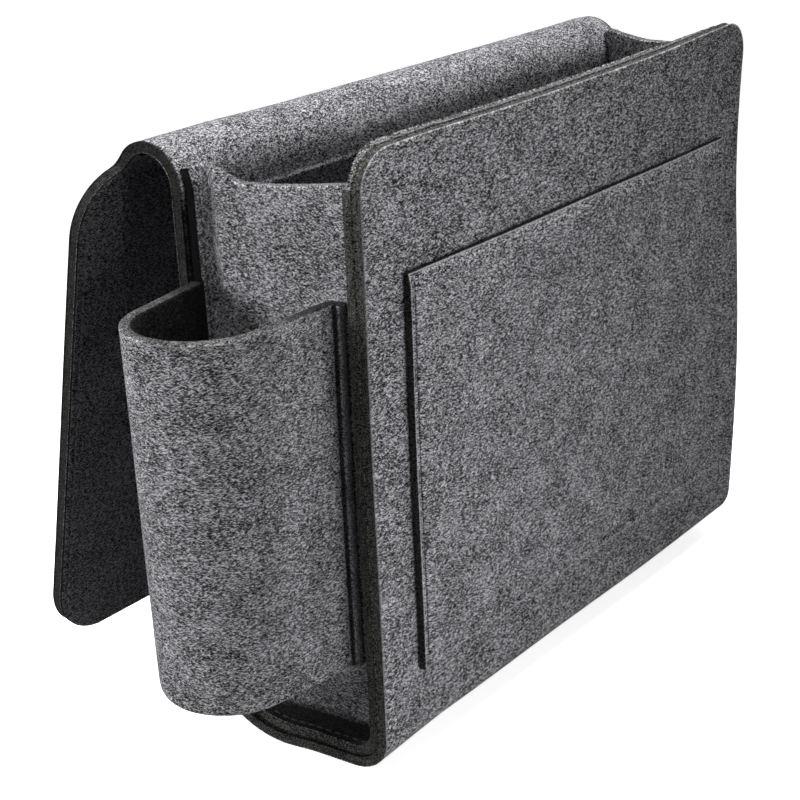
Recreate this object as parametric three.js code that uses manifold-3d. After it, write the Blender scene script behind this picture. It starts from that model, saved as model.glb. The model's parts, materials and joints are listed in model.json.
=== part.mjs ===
// Felt bedside caddy: a folded felt body with side gussets, a bottle pocket, a front pocket
// and a mattress flap. Millimetres, +X to the right of the front panel, +Y to the back, +Z up.
// The origin is at the centre of the base's underside.

import * as THREE from 'three';
import { mergeVertices } from 'three/addons/utils/BufferGeometryUtils.js';
import Module from 'manifold-3d';

const wasm = await Module();
wasm.setup();

// Felt and thread
const FELT = 4.2;
const LAYER_GAP = 0.3;
const THREAD_WIDTH = 0.8;
const THREAD_HEIGHT = 0.5;
const STITCH_INSET = 3;

// Body wrap: front panel, base, back wall and ridge in one folded piece
const FRONT_WIDTH = 262;
const BACK_SPLAY = 8;
const HEIGHT = 241.5;
const DEPTH = 81;
const FRONT_FOLD_RADIUS = 18;
const BACK_FOLD_RADIUS = 20;
const TOP_CORNER_RADIUS = 15;
const RIDGE_DROP = 4.7;
const RIDGE_RADIUS = 12;

// Lining behind the front panel, and the thin facing cloth that lines the back wall
const LINING_INSET = 4;
const FACING = 1.2;
const BACK_LINING_DROP = 26.9;

// Side gussets, set in from the raw edges of the wrap, with their margins turned outwards.
// Each top edge runs from its front end through a dip to its back end. The front end and the dip are
// measured down from the top of the front panel, and the back end down from the top of the ridge.
const GUSSET_RECESS = 7;
const RIM_SETBACK_FRONT = 0.5;
const RIM_SETBACK_BACK = 3;
const LEFT_GUSSET = { side: -1, frontDrop: 12.3, dipDrop: 17.4, dipDistance: 57, backDrop: 7.6 };
const RIGHT_GUSSET = { side: 1, frontDrop: 11, dipDrop: 11.5, dipDistance: 47, backDrop: 2.8 };
const GUSSET_DIP_POWER = 1.5;
const GUSSET_SEAM_DROP = 5;

// Front pocket, sewn on three sides and eased open so that it takes something slim
const POCKET_FELT = 3.2;
const POCKET_SIDE_MARGIN = 20;
const POCKET_BELOW_TOP = 45.3;
const POCKET_HEIGHT = 159;
const POCKET_SEWN_EDGE = 9;
const POCKET_EASE_LENGTH = 14;
const POCKET_EASE = 4.5;

// Bottle pocket on the left gusset: two straight sides run tangent to a round end
const BOTTLE_BASE_Z = 42.6;
const BOTTLE_HEIGHT = 144.6;
const BOTTLE_FRONT = 22;
const BOTTLE_MARGIN = 8;
const BOTTLE_BEND = 0.8;
const BOTTLE_SEAM_INSET = 4;
const BOTTLE_BASE_REACH = 33;
const BOTTLE_BASE_MIDDLE = 47.7;
const BOTTLE_BASE_RADIUS = 26;
const BOTTLE_RIM_REACH = 36.7;
const BOTTLE_RIM_MIDDLE = 44;
const BOTTLE_RIM_RADIUS = 27.2;

// Mattress flap behind the ridge
const FLAP_SPREAD = THREE.MathUtils.degToRad(13);
const FLAP_LENGTH = 209;
const FLAP_FLARE = 21.5;
const FLAP_CORNER_RADIUS = 27;
const NECK_LENGTH = 0.5;
const NECK_RADIUS = 3;
const SHOULDER_RADIUS = 20;
const FACING_START = 4;
const FLAP_SEAM_START = 9;

// Facets per arc, and rows of the bottle pocket
const ARC_STEPS = 10;
const SMALL_ARC_STEPS = 5;
const BOTTLE_ROWS = 4;

// Values worked out from the sizes above
const FRONT_Y = -DEPTH / 2;
const BACK_Y = DEPTH / 2;
const BACK_WIDTH = FRONT_WIDTH + 2 * BACK_SPLAY;
const RIDGE_Y = BACK_Y + RIDGE_RADIUS;
const RIDGE_TOP_Z = HEIGHT - RIDGE_DROP;
const RIDGE_Z = RIDGE_TOP_Z - RIDGE_RADIUS - FELT;
const RIDGE_MIDDLE_RADIUS = RIDGE_RADIUS + FELT / 2;
const HINGE_Y = RIDGE_Y + RIDGE_MIDDLE_RADIUS * Math.cos(FLAP_SPREAD);
const HINGE_Z = RIDGE_Z + RIDGE_MIDDLE_RADIUS * Math.sin(FLAP_SPREAD);
const RIDGE_END_ANGLE = FLAP_SPREAD + Math.asin((FELT / 2 + LAYER_GAP) / RIDGE_MIDDLE_RADIUS);
const GUSSET_RIM_X = FRONT_WIDTH / 2 - RIM_SETBACK_FRONT;
const GUSSET_OUTER_X = FRONT_WIDTH / 2 - GUSSET_RECESS;
const GUSSET_INNER_X = GUSSET_OUTER_X - FELT;
const PANEL_SLANT = BACK_SPLAY / DEPTH;
const RIM_SLANT = (BACK_SPLAY + RIM_SETBACK_FRONT - RIM_SETBACK_BACK) / DEPTH;
const POCKET_WIDTH = FRONT_WIDTH - 2 * POCKET_SIDE_MARGIN;
const POCKET_TOP_Z = HEIGHT - POCKET_BELOW_TOP;
const POCKET_BACK_Y = FRONT_Y - LAYER_GAP;
const SEAM_OFFSET = 2 * LAYER_GAP + FELT;
const BOTTLE_BACK = DEPTH - FELT - LAYER_GAP;
const BOTTLE_BACK_INNER = BOTTLE_BACK - SEAM_OFFSET - THREAD_HEIGHT;
const BOTTLE_BACK_REACH = GUSSET_RECESS + LAYER_GAP
  - THREE.MathUtils.lerp(RIM_SETBACK_FRONT, RIM_SETBACK_BACK, (BOTTLE_BACK - FELT) / DEPTH);

// Materials
const FELT_GREY = feltMaterial(0x6b6b6e);
const FELT_DARK = feltMaterial(0x2e2e33);
const THREAD_BLACK = matt(0x1b1b1d, 0.7);

function feltMaterial(color) {
  return matt(color, 0.95);
}

function matt(color, roughness) {
  return new THREE.MeshStandardMaterial({ color, roughness, metalness: 0 });
}

// Solids: geometry to closed solid and back
function toSolid(geometry) {
  const bare = geometry.clone();
  bare.deleteAttribute('normal');
  bare.deleteAttribute('uv');
  const merged = mergeVertices(bare, 1e-4);
  return new wasm.Manifold(new wasm.Mesh({
    numProp: 3,
    vertProperties: new Float32Array(merged.attributes.position.array),
    triVerts: new Uint32Array(merged.index.array),
  }));
}

function toGeometry(solid) {
  const mesh = solid.getMesh();
  const geometry = new THREE.BufferGeometry();
  geometry.setAttribute('position', new THREE.BufferAttribute(mesh.vertProperties, 3));
  geometry.setIndex(new THREE.BufferAttribute(mesh.triVerts, 1));
  return geometry;
}

// Extrusions along the three axes, from a shape drawn in the other two
const FROM_SIDE = new THREE.Matrix4().makeBasis(
  new THREE.Vector3(0, 1, 0), new THREE.Vector3(0, 0, 1), new THREE.Vector3(1, 0, 0));
const FROM_FRONT = new THREE.Matrix4().makeBasis(
  new THREE.Vector3(1, 0, 0), new THREE.Vector3(0, 0, 1), new THREE.Vector3(0, -1, 0));

function prism(shape, low, high) {
  const settings = { depth: high - low, bevelEnabled: false, curveSegments: ARC_STEPS };
  return new THREE.ExtrudeGeometry(shape, settings).translate(0, 0, low);
}

function alongX(shape, end, otherEnd) {
  return prism(shape, Math.min(end, otherEnd), Math.max(end, otherEnd)).applyMatrix4(FROM_SIDE);
}

function alongY(shape, front, back) {
  return prism(shape, -back, -front).applyMatrix4(FROM_FRONT);
}

function alongZ(shape, bottom, top) {
  return prism(shape, bottom, top);
}

// A closed felt sheet over a grid. pointAt(column, row, side) gives a point of its outer face, side 1,
// or of its inner face, side -1.
function feltSheet(columns, rows, pointAt) {
  const positions = [];
  const index = [];
  const faceSize = (columns + 1) * (rows + 1);
  const outer = (column, row) => row * (columns + 1) + column;
  const inner = (column, row) => faceSize + outer(column, row);
  const quad = (a, b, c, d) => index.push(a, b, c, a, c, d);
  for (const side of [1, -1]) {
    for (let row = 0; row <= rows; row += 1) {
      for (let column = 0; column <= columns; column += 1) {
        positions.push(...pointAt(column, row, side).toArray());
      }
    }
  }
  for (let row = 0; row < rows; row += 1) {
    for (let column = 0; column < columns; column += 1) {
      const corners = [[column, row], [column + 1, row], [column + 1, row + 1], [column, row + 1]];
      quad(...corners.map((corner) => outer(...corner)));
      quad(...corners.reverse().map((corner) => inner(...corner)));
    }
  }
  const edge = (from, to) => quad(outer(...from), outer(...to), inner(...to), inner(...from));
  for (let row = 0; row < rows; row += 1) {
    edge([0, row], [0, row + 1]);
    edge([columns, row + 1], [columns, row]);
  }
  for (let column = 0; column < columns; column += 1) {
    edge([column + 1, 0], [column, 0]);
    edge([column, rows], [column + 1, rows]);
  }
  const geometry = new THREE.BufferGeometry();
  geometry.setAttribute('position', new THREE.Float32BufferAttribute(positions, 3));
  geometry.setIndex(index);
  return geometry;
}

// Slants a gusset or what is sewn to it, so that it follows the wrap as it widens to the back
function slanted(geometry, side, slant) {
  return geometry.applyMatrix4(new THREE.Matrix4().set(
    1, side * slant, 0, -side * slant * FRONT_Y,
    0, 1, 0, 0,
    0, 0, 1, 0,
    0, 0, 0, 1));
}

// Body wrap
function wrapProfile() {
  const frontFold = FRONT_Y + FRONT_FOLD_RADIUS;
  const backFold = BACK_Y - BACK_FOLD_RADIUS;
  const shape = new THREE.Shape();
  shape.moveTo(FRONT_Y, HEIGHT);
  shape.lineTo(FRONT_Y, FRONT_FOLD_RADIUS);
  shape.absarc(frontFold, FRONT_FOLD_RADIUS, FRONT_FOLD_RADIUS, Math.PI, 1.5 * Math.PI, false);
  shape.absarc(backFold, BACK_FOLD_RADIUS, BACK_FOLD_RADIUS, 1.5 * Math.PI, 2 * Math.PI, false);
  shape.absarc(RIDGE_Y, RIDGE_Z, RIDGE_RADIUS, Math.PI, RIDGE_END_ANGLE, true);
  shape.absarc(RIDGE_Y, RIDGE_Z, RIDGE_RADIUS + FELT, RIDGE_END_ANGLE, Math.PI, false);
  shape.absarc(backFold, BACK_FOLD_RADIUS, BACK_FOLD_RADIUS - FELT, 2 * Math.PI, 1.5 * Math.PI, true);
  shape.absarc(frontFold, FRONT_FOLD_RADIUS, FRONT_FOLD_RADIUS - FELT, 1.5 * Math.PI, Math.PI, true);
  shape.lineTo(FRONT_Y + FELT, HEIGHT);
  return shape;
}

// Plan of the wrap: the front panel's width, widening over the base to the back wall and the ridge
function wrapPlan(cutRoom) {
  const back = RIDGE_Y + RIDGE_RADIUS + FELT + cutRoom;
  const half = [
    [FRONT_WIDTH / 2, FRONT_Y - cutRoom],
    [FRONT_WIDTH / 2, FRONT_Y + FELT],
    [BACK_WIDTH / 2, BACK_Y - FELT],
    [BACK_WIDTH / 2, back],
  ].map(([x, y]) => new THREE.Vector2(x, y));
  const mirrored = half.map((point) => new THREE.Vector2(-point.x, point.y)).reverse();
  return new THREE.Shape([...half, ...mirrored]);
}

// What a rounded top corner leaves of a square one, as a cutter
function cornerCutter(side, halfWidth, radius, cutRoom) {
  const shape = new THREE.Shape();
  const turn = side > 0 ? 0 : Math.PI;
  shape.moveTo(side * (halfWidth - radius), HEIGHT + cutRoom);
  shape.lineTo(side * (halfWidth - radius), HEIGHT);
  shape.absarc(side * (halfWidth - radius), HEIGHT - radius, radius, Math.PI / 2, turn, side > 0);
  shape.lineTo(side * (halfWidth + cutRoom), HEIGHT - radius);
  shape.lineTo(side * (halfWidth + cutRoom), HEIGHT + cutRoom);
  return shape;
}

function bodyWrap() {
  const cutRoom = FELT;
  const strip = toSolid(alongX(wrapProfile(), -BACK_WIDTH / 2 - cutRoom, BACK_WIDTH / 2 + cutRoom));
  let wrap = strip.intersect(toSolid(alongZ(wrapPlan(cutRoom), -cutRoom, HEIGHT + cutRoom)));
  for (const side of [1, -1]) {
    const cutter = cornerCutter(side, FRONT_WIDTH / 2, TOP_CORNER_RADIUS, cutRoom);
    wrap = wrap.subtract(toSolid(alongY(cutter, FRONT_Y - cutRoom, FRONT_Y + 2 * FELT)));
  }
  return toGeometry(wrap);
}

// Heights of a gusset's top edge
function gussetLevels(gusset) {
  return {
    front: HEIGHT - gusset.frontDrop,
    dip: HEIGHT - gusset.dipDrop,
    back: RIDGE_TOP_Z - gusset.backDrop,
  };
}

// Lining: as wide as the room between the gussets, and wider above them where it follows the panel's
// corners
function frontLining() {
  const front = FRONT_Y + FELT + LAYER_GAP;
  const bodyHalf = GUSSET_INNER_X - LAYER_GAP;
  const cornerX = FRONT_WIDTH / 2 - LINING_INSET - TOP_CORNER_RADIUS;
  const cornerZ = HEIGHT - TOP_CORNER_RADIUS;
  const rightHeadZ = gussetLevels(RIGHT_GUSSET).front + LAYER_GAP;
  const leftHeadZ = gussetLevels(LEFT_GUSSET).front + LAYER_GAP;
  const start = (z) => Math.asin(Math.max(0, z - cornerZ) / TOP_CORNER_RADIUS);
  const shape = new THREE.Shape();
  shape.moveTo(-bodyHalf, FRONT_FOLD_RADIUS);
  shape.lineTo(bodyHalf, FRONT_FOLD_RADIUS);
  shape.lineTo(bodyHalf, rightHeadZ);
  shape.absarc(cornerX, cornerZ, TOP_CORNER_RADIUS, start(rightHeadZ), Math.PI / 2, false);
  shape.absarc(-cornerX, cornerZ, TOP_CORNER_RADIUS, Math.PI / 2, Math.PI - start(leftHeadZ), false);
  shape.lineTo(-bodyHalf, leftHeadZ);
  return alongY(shape, front, front + FELT);
}

// Lining of the back wall, between the gussets from the back fold to below the ridge
function backLining() {
  const back = BACK_Y - FELT - LAYER_GAP;
  const front = back - FACING;
  const half = GUSSET_INNER_X + PANEL_SLANT * (front - FRONT_Y) - LAYER_GAP;
  const top = HEIGHT - BACK_LINING_DROP;
  const corners = [[-half, BACK_FOLD_RADIUS], [half, BACK_FOLD_RADIUS], [half, top], [-half, top]];
  const shape = new THREE.Shape(corners.map(([x, z]) => new THREE.Vector2(x, z)));
  return alongY(shape, front, back);
}

// Points of the U that runs down the front panel, along the base and up the back wall, inside the wrap
// by an offset and with both ends lowered by a drop
function insideWrap(gusset, offset, drop) {
  const levels = gussetLevels(gusset);
  const front = FRONT_Y + FELT + offset;
  const back = BACK_Y - FELT - offset;
  const frontRadius = FRONT_FOLD_RADIUS - FELT - offset;
  const backRadius = BACK_FOLD_RADIUS - FELT - offset;
  const ridge = RIDGE_RADIUS + FELT + offset;
  const overRidge = Math.asin((levels.back - drop - RIDGE_Z) / ridge);
  const path = new THREE.Path();
  path.moveTo(front, levels.front - drop);
  path.lineTo(front, FRONT_FOLD_RADIUS);
  path.absarc(front + frontRadius, FRONT_FOLD_RADIUS, frontRadius, Math.PI, 1.5 * Math.PI, false);
  path.absarc(back - backRadius, BACK_FOLD_RADIUS, backRadius, 1.5 * Math.PI, 2 * Math.PI, false);
  path.absarc(RIDGE_Y, RIDGE_Z, ridge, Math.PI, Math.PI - overRidge, true);
  return path.getPoints(ARC_STEPS);
}

// Top edge of a gusset from back to front, high at both ends with one dip
function gussetTopEdge(gusset, backEnd, frontEnd) {
  const dipY = FRONT_Y + gusset.dipDistance;
  const dipZ = gussetLevels(gusset).dip;
  const points = [];
  for (let step = 1; step < 2 * ARC_STEPS; step += 1) {
    const y = THREE.MathUtils.lerp(backEnd.x, frontEnd.x, step / (2 * ARC_STEPS));
    const end = y > dipY ? backEnd : frontEnd;
    const share = (y - dipY) / (end.x - dipY);
    points.push(new THREE.Vector2(y, dipZ + (end.y - dipZ) * share ** GUSSET_DIP_POWER));
  }
  return points;
}

function bandOf(gusset, offset, thickness, drop) {
  const outside = insideWrap(gusset, offset, drop);
  const inside = insideWrap(gusset, offset + thickness, drop);
  return new THREE.Shape([...outside, ...inside.reverse()]);
}

function gussetPiece(gusset) {
  const side = gusset.side;
  const rim = insideWrap(gusset, LAYER_GAP, 0);
  const panelShape = new THREE.Shape([...rim, ...gussetTopEdge(gusset, rim[rim.length - 1], rim[0])]);
  const panel = alongX(panelShape, side * GUSSET_INNER_X, side * GUSSET_OUTER_X);
  const rootX = GUSSET_OUTER_X - FELT / 4;
  const flange = alongX(bandOf(gusset, LAYER_GAP, FELT, 0), side * rootX, side * GUSSET_RIM_X);
  const slantedFlange = toSolid(slanted(flange, side, RIM_SLANT));
  return toGeometry(toSolid(slanted(panel, side, PANEL_SLANT)).add(slantedFlange));
}

function gussetSeam(gusset) {
  const outer = GUSSET_RIM_X - STITCH_INSET;
  const band = bandOf(gusset, SEAM_OFFSET, THREAD_HEIGHT, GUSSET_SEAM_DROP);
  const strip = alongX(band, gusset.side * outer, gusset.side * (outer - THREAD_WIDTH));
  return slanted(strip, gusset.side, RIM_SLANT);
}

// Distances from a sewn edge of the front pocket: its edge, its flat margin and steps over the strip
// that eases away
function easeStations() {
  const stations = [0];
  for (let step = 0; step <= SMALL_ARC_STEPS; step += 1) {
    stations.push(POCKET_SEWN_EDGE + POCKET_EASE_LENGTH * step / SMALL_ARC_STEPS);
  }
  return stations;
}

// Front pocket: flat on the panel at its sewn margins, eased away from it in between and at its mouth
function frontPocket() {
  const easeEnd = POCKET_SEWN_EDGE + POCKET_EASE_LENGTH;
  const eased = (distance) => THREE.MathUtils.smoothstep(distance, POCKET_SEWN_EDGE, easeEnd);
  const stations = easeStations();
  const across = [...stations, ...stations.map((station) => POCKET_WIDTH - station).reverse()];
  const up = [...stations, POCKET_HEIGHT];
  return feltSheet(across.length - 1, up.length - 1, (column, row, side) => {
    const fromEdge = Math.min(across[column], POCKET_WIDTH - across[column]);
    const ease = POCKET_EASE * eased(fromEdge) * eased(up[row]);
    const face = POCKET_BACK_Y - ease - (side > 0 ? POCKET_FELT : 0);
    const z = POCKET_TOP_Z - POCKET_HEIGHT + up[row];
    return new THREE.Vector3(across[column] - POCKET_WIDTH / 2, face, z);
  });
}

// A thread that runs down one side, along the bottom and up the other side of the front pocket
function frontPocketSeam() {
  const outerHalf = POCKET_WIDTH / 2 - STITCH_INSET;
  const innerHalf = outerHalf - THREAD_WIDTH;
  const top = POCKET_TOP_Z - STITCH_INSET;
  const outerBottom = POCKET_TOP_Z - POCKET_HEIGHT + STITCH_INSET;
  const innerBottom = outerBottom + THREAD_WIDTH;
  const outline = [
    [-outerHalf, top], [-outerHalf, outerBottom], [outerHalf, outerBottom], [outerHalf, top],
    [innerHalf, top], [innerHalf, innerBottom], [-innerHalf, innerBottom], [-innerHalf, top],
  ].map(([x, z]) => new THREE.Vector2(x, z));
  const back = POCKET_BACK_Y - POCKET_FELT - LAYER_GAP;
  return alongY(new THREE.Shape(outline), back - THREAD_HEIGHT, back);
}

// Bottle pocket in plan, as (reach from the gusset, distance from the front face). The front side runs
// tangent to the bend of its sewn margin and to the round end, and the back side runs from the round end
// past the gusset's rim to the gusset. Rise is 0 at the pocket's base and 1 at its rim.
function bottlePlan(rise) {
  const between = (base, rim) => THREE.MathUtils.lerp(base, rim, rise);
  const centre = new THREE.Vector2(
    between(BOTTLE_BASE_REACH, BOTTLE_RIM_REACH), between(BOTTLE_BASE_MIDDLE, BOTTLE_RIM_MIDDLE));
  const radius = between(BOTTLE_BASE_RADIUS, BOTTLE_RIM_RADIUS);
  const bend = new THREE.Vector2(LAYER_GAP + FELT + BOTTLE_BEND, BOTTLE_FRONT - BOTTLE_BEND);
  const across = centre.clone().sub(bend);
  const frontAngle = across.angle() - Math.asin((radius + BOTTLE_BEND) / across.length());
  const away = new THREE.Vector2(BOTTLE_BACK_REACH, BOTTLE_BACK).sub(centre);
  const backAngle = away.angle() - Math.acos(radius / away.length());
  return { centre, radius, bend, frontAngle, backAngle };
}

function arcPoints(centre, radius, from, to, steps) {
  const points = [];
  for (let step = 0; step <= steps; step += 1) {
    const angle = THREE.MathUtils.lerp(from, to, step / steps);
    points.push(new THREE.Vector2(Math.cos(angle), Math.sin(angle)).multiplyScalar(radius).add(centre));
  }
  return points;
}

// Where a line through a point, at an angle to the reach, has another reach
function atReach(point, angle, reach) {
  return new THREE.Vector2(reach, point.y + (reach - point.x) * Math.tan(angle));
}

function bottleRound(plan, inside) {
  const from = plan.frontAngle - Math.PI / 2;
  return arcPoints(plan.centre, plan.radius - inside, from, plan.backAngle, 2 * ARC_STEPS);
}

function bottleBackEnd(plan, round) {
  return atReach(round[round.length - 1], plan.backAngle + Math.PI / 2, BOTTLE_BACK_REACH);
}

// One face of the bottle pocket from back to front, inside its outer face
function bottleOutline(rise, inside) {
  const plan = bottlePlan(rise);
  const round = bottleRound(plan, inside);
  const edge = new THREE.Vector2(LAYER_GAP + FELT - inside, BOTTLE_FRONT - BOTTLE_MARGIN);
  const bendEnd = plan.frontAngle + Math.PI / 2;
  const bend = arcPoints(plan.bend, BOTTLE_BEND + inside, Math.PI, bendEnd, SMALL_ARC_STEPS);
  return [edge, ...bend, ...round, bottleBackEnd(plan, round)].reverse();
}

function fromGusset(point, z) {
  return new THREE.Vector3(-GUSSET_OUTER_X - point.x, FRONT_Y + point.y, z);
}

function bottlePocket() {
  const outlines = { outer: [], inner: [] };
  for (let row = 0; row <= BOTTLE_ROWS; row += 1) {
    outlines.outer.push(bottleOutline(row / BOTTLE_ROWS, 0));
    outlines.inner.push(bottleOutline(row / BOTTLE_ROWS, FELT));
  }
  const columns = outlines.outer[0].length - 1;
  const sheet = feltSheet(columns, BOTTLE_ROWS, (column, row, side) => {
    const face = side > 0 ? outlines.outer : outlines.inner;
    return fromGusset(face[row][column], BOTTLE_BASE_Z + BOTTLE_HEIGHT * row / BOTTLE_ROWS);
  });
  return slanted(sheet, -1, PANEL_SLANT);
}

// The base of the bottle pocket stays inside its sides and clear of the gusset's rim and seam
function bottlePocketBase() {
  const plan = bottlePlan(FELT / BOTTLE_HEIGHT);
  const round = bottleRound(plan, FELT + LAYER_GAP);
  const outline = [
    atReach(round[0], plan.frontAngle, LAYER_GAP),
    ...round,
    bottleBackEnd(plan, round),
    new THREE.Vector2(BOTTLE_BACK_REACH, BOTTLE_BACK_INNER - LAYER_GAP),
    new THREE.Vector2(LAYER_GAP, BOTTLE_BACK_INNER - LAYER_GAP),
  ];
  return slanted(alongZ(planShape(outline), BOTTLE_BASE_Z, BOTTLE_BASE_Z + FELT), -1, PANEL_SLANT);
}

// A plan of points beside the left gusset
function planShape(outline) {
  const corners = outline.map((point) => fromGusset(point, 0));
  return new THREE.Shape(corners.map((corner) => new THREE.Vector2(corner.x, corner.y)));
}

function bottlePocketSeam() {
  const start = BOTTLE_FRONT - BOTTLE_MARGIN + BOTTLE_SEAM_INSET;
  const near = FELT + 2 * LAYER_GAP;
  const outline = [
    new THREE.Vector2(near, start),
    new THREE.Vector2(near + THREAD_HEIGHT, start),
    new THREE.Vector2(near + THREAD_HEIGHT, start + THREAD_WIDTH),
    new THREE.Vector2(near, start + THREAD_WIDTH),
  ];
  const bottom = BOTTLE_BASE_Z + STITCH_INSET;
  const top = BOTTLE_BASE_Z + BOTTLE_HEIGHT - STITCH_INSET;
  return slanted(alongZ(planShape(outline), bottom, top), -1, PANEL_SLANT);
}

// Half outline of the flap in its own plane, from its neck at the hinge to the middle of its bottom edge.
// The neck turns outwards, the shoulder turns back by the same angle, and the bottom corner is round.
function flapHalf(inset) {
  const neckHalf = BACK_WIDTH / 2 - inset;
  const sideHalf = neckHalf + FLAP_FLARE;
  const neck = NECK_RADIUS + inset;
  const shoulder = SHOULDER_RADIUS - inset;
  const corner = FLAP_CORNER_RADIUS - inset;
  const turn = Math.acos(1 - FLAP_FLARE / (neck + shoulder));
  const shoulderZ = -NECK_LENGTH - (neck + shoulder) * Math.sin(turn);
  const path = new THREE.Path();
  path.moveTo(neckHalf, 0);
  path.lineTo(neckHalf, -NECK_LENGTH);
  path.absarc(neckHalf + neck, -NECK_LENGTH, neck, Math.PI, Math.PI + turn, false);
  path.absarc(sideHalf - shoulder, shoulderZ, shoulder, turn, 0, true);
  path.absarc(sideHalf - corner, -FLAP_LENGTH + inset + corner, corner, 0, -Math.PI / 2, true);
  return path.getPoints(ARC_STEPS);
}

function flapOutline(inset) {
  const half = flapHalf(inset);
  const mirrored = half.map((point) => new THREE.Vector2(-point.x, point.y)).reverse();
  return [...half, ...mirrored];
}

// The flap hangs from a round bead on the hinge axis
function mattressFlap() {
  const sheet = alongY(new THREE.Shape(flapOutline(0)), -FELT / 2, FELT / 2);
  const beadShape = new THREE.Shape();
  beadShape.absarc(0, 0, FELT / 2, 0, 2 * Math.PI, false);
  const bead = alongX(beadShape, -BACK_WIDTH / 2, BACK_WIDTH / 2);
  return toGeometry(toSolid(sheet).add(toSolid(bead)));
}

// Everything above a level on the flap, as a cutter
function aboveLevel(level) {
  const wide = BACK_WIDTH + FLAP_FLARE;
  const box = new THREE.BoxGeometry(2 * wide, FLAP_LENGTH, FLAP_LENGTH);
  return toSolid(box.translate(0, 0, FLAP_LENGTH / 2 - level));
}

function flapFacing() {
  const face = -FELT / 2 - LAYER_GAP;
  const sheet = alongY(new THREE.Shape(flapOutline(0)), face - FACING, face);
  return toGeometry(toSolid(sheet).subtract(aboveLevel(FACING_START)));
}

function flapSeam() {
  const inner = flapOutline(STITCH_INSET + THREAD_WIDTH);
  const outline = [...flapOutline(STITCH_INSET), ...inner.reverse()];
  const face = -FELT / 2 - FACING - 2 * LAYER_GAP;
  const ring = alongY(new THREE.Shape(outline), face - THREAD_HEIGHT, face);
  return toGeometry(toSolid(ring).subtract(aboveLevel(FLAP_SEAM_START)));
}

// Assembly
function piece(name, geometry, material) {
  const mesh = new THREE.Mesh(geometry, material);
  mesh.name = name;
  return mesh;
}

const caddy = new THREE.Group();
caddy.add(
  piece('body_wrap', bodyWrap(), FELT_GREY),
  piece('front_lining', frontLining(), FELT_GREY),
  piece('back_lining', backLining(), FELT_DARK),
  piece('left_gusset', gussetPiece(LEFT_GUSSET), FELT_GREY),
  piece('right_gusset', gussetPiece(RIGHT_GUSSET), FELT_GREY),
  piece('left_gusset_seam', gussetSeam(LEFT_GUSSET), THREAD_BLACK),
  piece('right_gusset_seam', gussetSeam(RIGHT_GUSSET), THREAD_BLACK),
  piece('front_pocket', frontPocket(), FELT_GREY),
  piece('front_pocket_seam', frontPocketSeam(), THREAD_BLACK),
  piece('bottle_pocket', bottlePocket(), FELT_GREY),
  piece('bottle_pocket_base', bottlePocketBase(), FELT_GREY),
  piece('bottle_pocket_seam', bottlePocketSeam(), THREAD_BLACK),
);

const flap = new THREE.Group();
flap.position.set(0, HINGE_Y, HINGE_Z);
flap.rotation.x = FLAP_SPREAD;
flap.add(
  piece('mattress_flap', mattressFlap(), FELT_GREY),
  piece('flap_facing', flapFacing(), FELT_DARK),
  piece('flap_seam', flapSeam(), THREAD_BLACK),
);
caddy.add(flap);

export default caddy;
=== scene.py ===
"""Felt bedside caddy: its folded felt, linings, pockets and seams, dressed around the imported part."""

import json
import math

import bmesh
import bpy
import numpy as np
from mathutils import Matrix, Vector


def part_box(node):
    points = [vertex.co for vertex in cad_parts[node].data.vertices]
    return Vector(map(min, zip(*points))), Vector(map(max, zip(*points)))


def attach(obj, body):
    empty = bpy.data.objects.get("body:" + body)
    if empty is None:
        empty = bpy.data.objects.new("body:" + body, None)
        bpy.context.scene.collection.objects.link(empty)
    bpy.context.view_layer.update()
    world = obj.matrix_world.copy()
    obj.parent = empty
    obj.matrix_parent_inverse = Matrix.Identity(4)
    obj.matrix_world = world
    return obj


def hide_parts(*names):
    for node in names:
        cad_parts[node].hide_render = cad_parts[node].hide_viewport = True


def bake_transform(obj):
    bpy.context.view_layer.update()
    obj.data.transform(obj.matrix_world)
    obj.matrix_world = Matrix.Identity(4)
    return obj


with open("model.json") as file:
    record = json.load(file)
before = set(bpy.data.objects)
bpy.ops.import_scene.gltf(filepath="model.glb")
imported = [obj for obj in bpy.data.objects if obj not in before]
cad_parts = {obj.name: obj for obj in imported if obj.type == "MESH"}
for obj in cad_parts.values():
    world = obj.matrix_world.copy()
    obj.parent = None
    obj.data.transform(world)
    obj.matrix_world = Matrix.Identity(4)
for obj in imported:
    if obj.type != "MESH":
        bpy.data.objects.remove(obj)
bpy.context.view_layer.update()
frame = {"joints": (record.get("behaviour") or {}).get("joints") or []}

bl_info = {
    "name": "Felt Bedside Caddy",
    "version": (1, 0, 0),
    "blender": (4, 5, 0),
    "location": "View3D > Sidebar > Caddy",
    "description": "Dresses a felt bedside caddy: wrap, gussets, linings, pockets, flap and seams",
    "category": "Object",
}

WRAP_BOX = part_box("body_wrap")
POCKET_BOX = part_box("front_pocket")
HINGE = Vector(frame["joints"][0]["pos_m"])

# Mesh steps, as counts, an angle, and lengths in metres
EDGE_STEPS = 3
CORNER_STEPS = 10
NECK_STEPS = 16
FLAP_CORNER_STEPS = 24
ARC_STEP = math.radians(2)
FLAT_STEP = 0.008
FRONT_FOLD_STEP = 0.003
BASE_STEP = 0.004
RIDGE_STEP = 0.0018
HINGE_STEP = 0.0009
SEAM_STEP = 0.0005

# Column places across a wide sheet, as distances from its edge, before even steps take over
EDGE_PLACES = np.array([0, 1.0, 2.0, 2.5, 3.0, 3.5, 4.0, 5.0, 7.0, 10.0]) * 0.001

# Limits below which a length counts as none
NEAR_DOUBLE = 2e-4
MERGE_DISTANCE = 2e-6
AT_EDGE = 1e-6
TINY = 1e-9
VANISHING = 1e-12

QUARTER = math.pi / 2

# Order of a face's corners once it is turned over
TURNED_OVER = [0, 3, 2, 1]


def length(name, description, default):
    """A length in metres that a user may change."""
    return bpy.props.FloatProperty(
        name=name, description=description, default=default, unit="LENGTH", precision=5
    )


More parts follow.
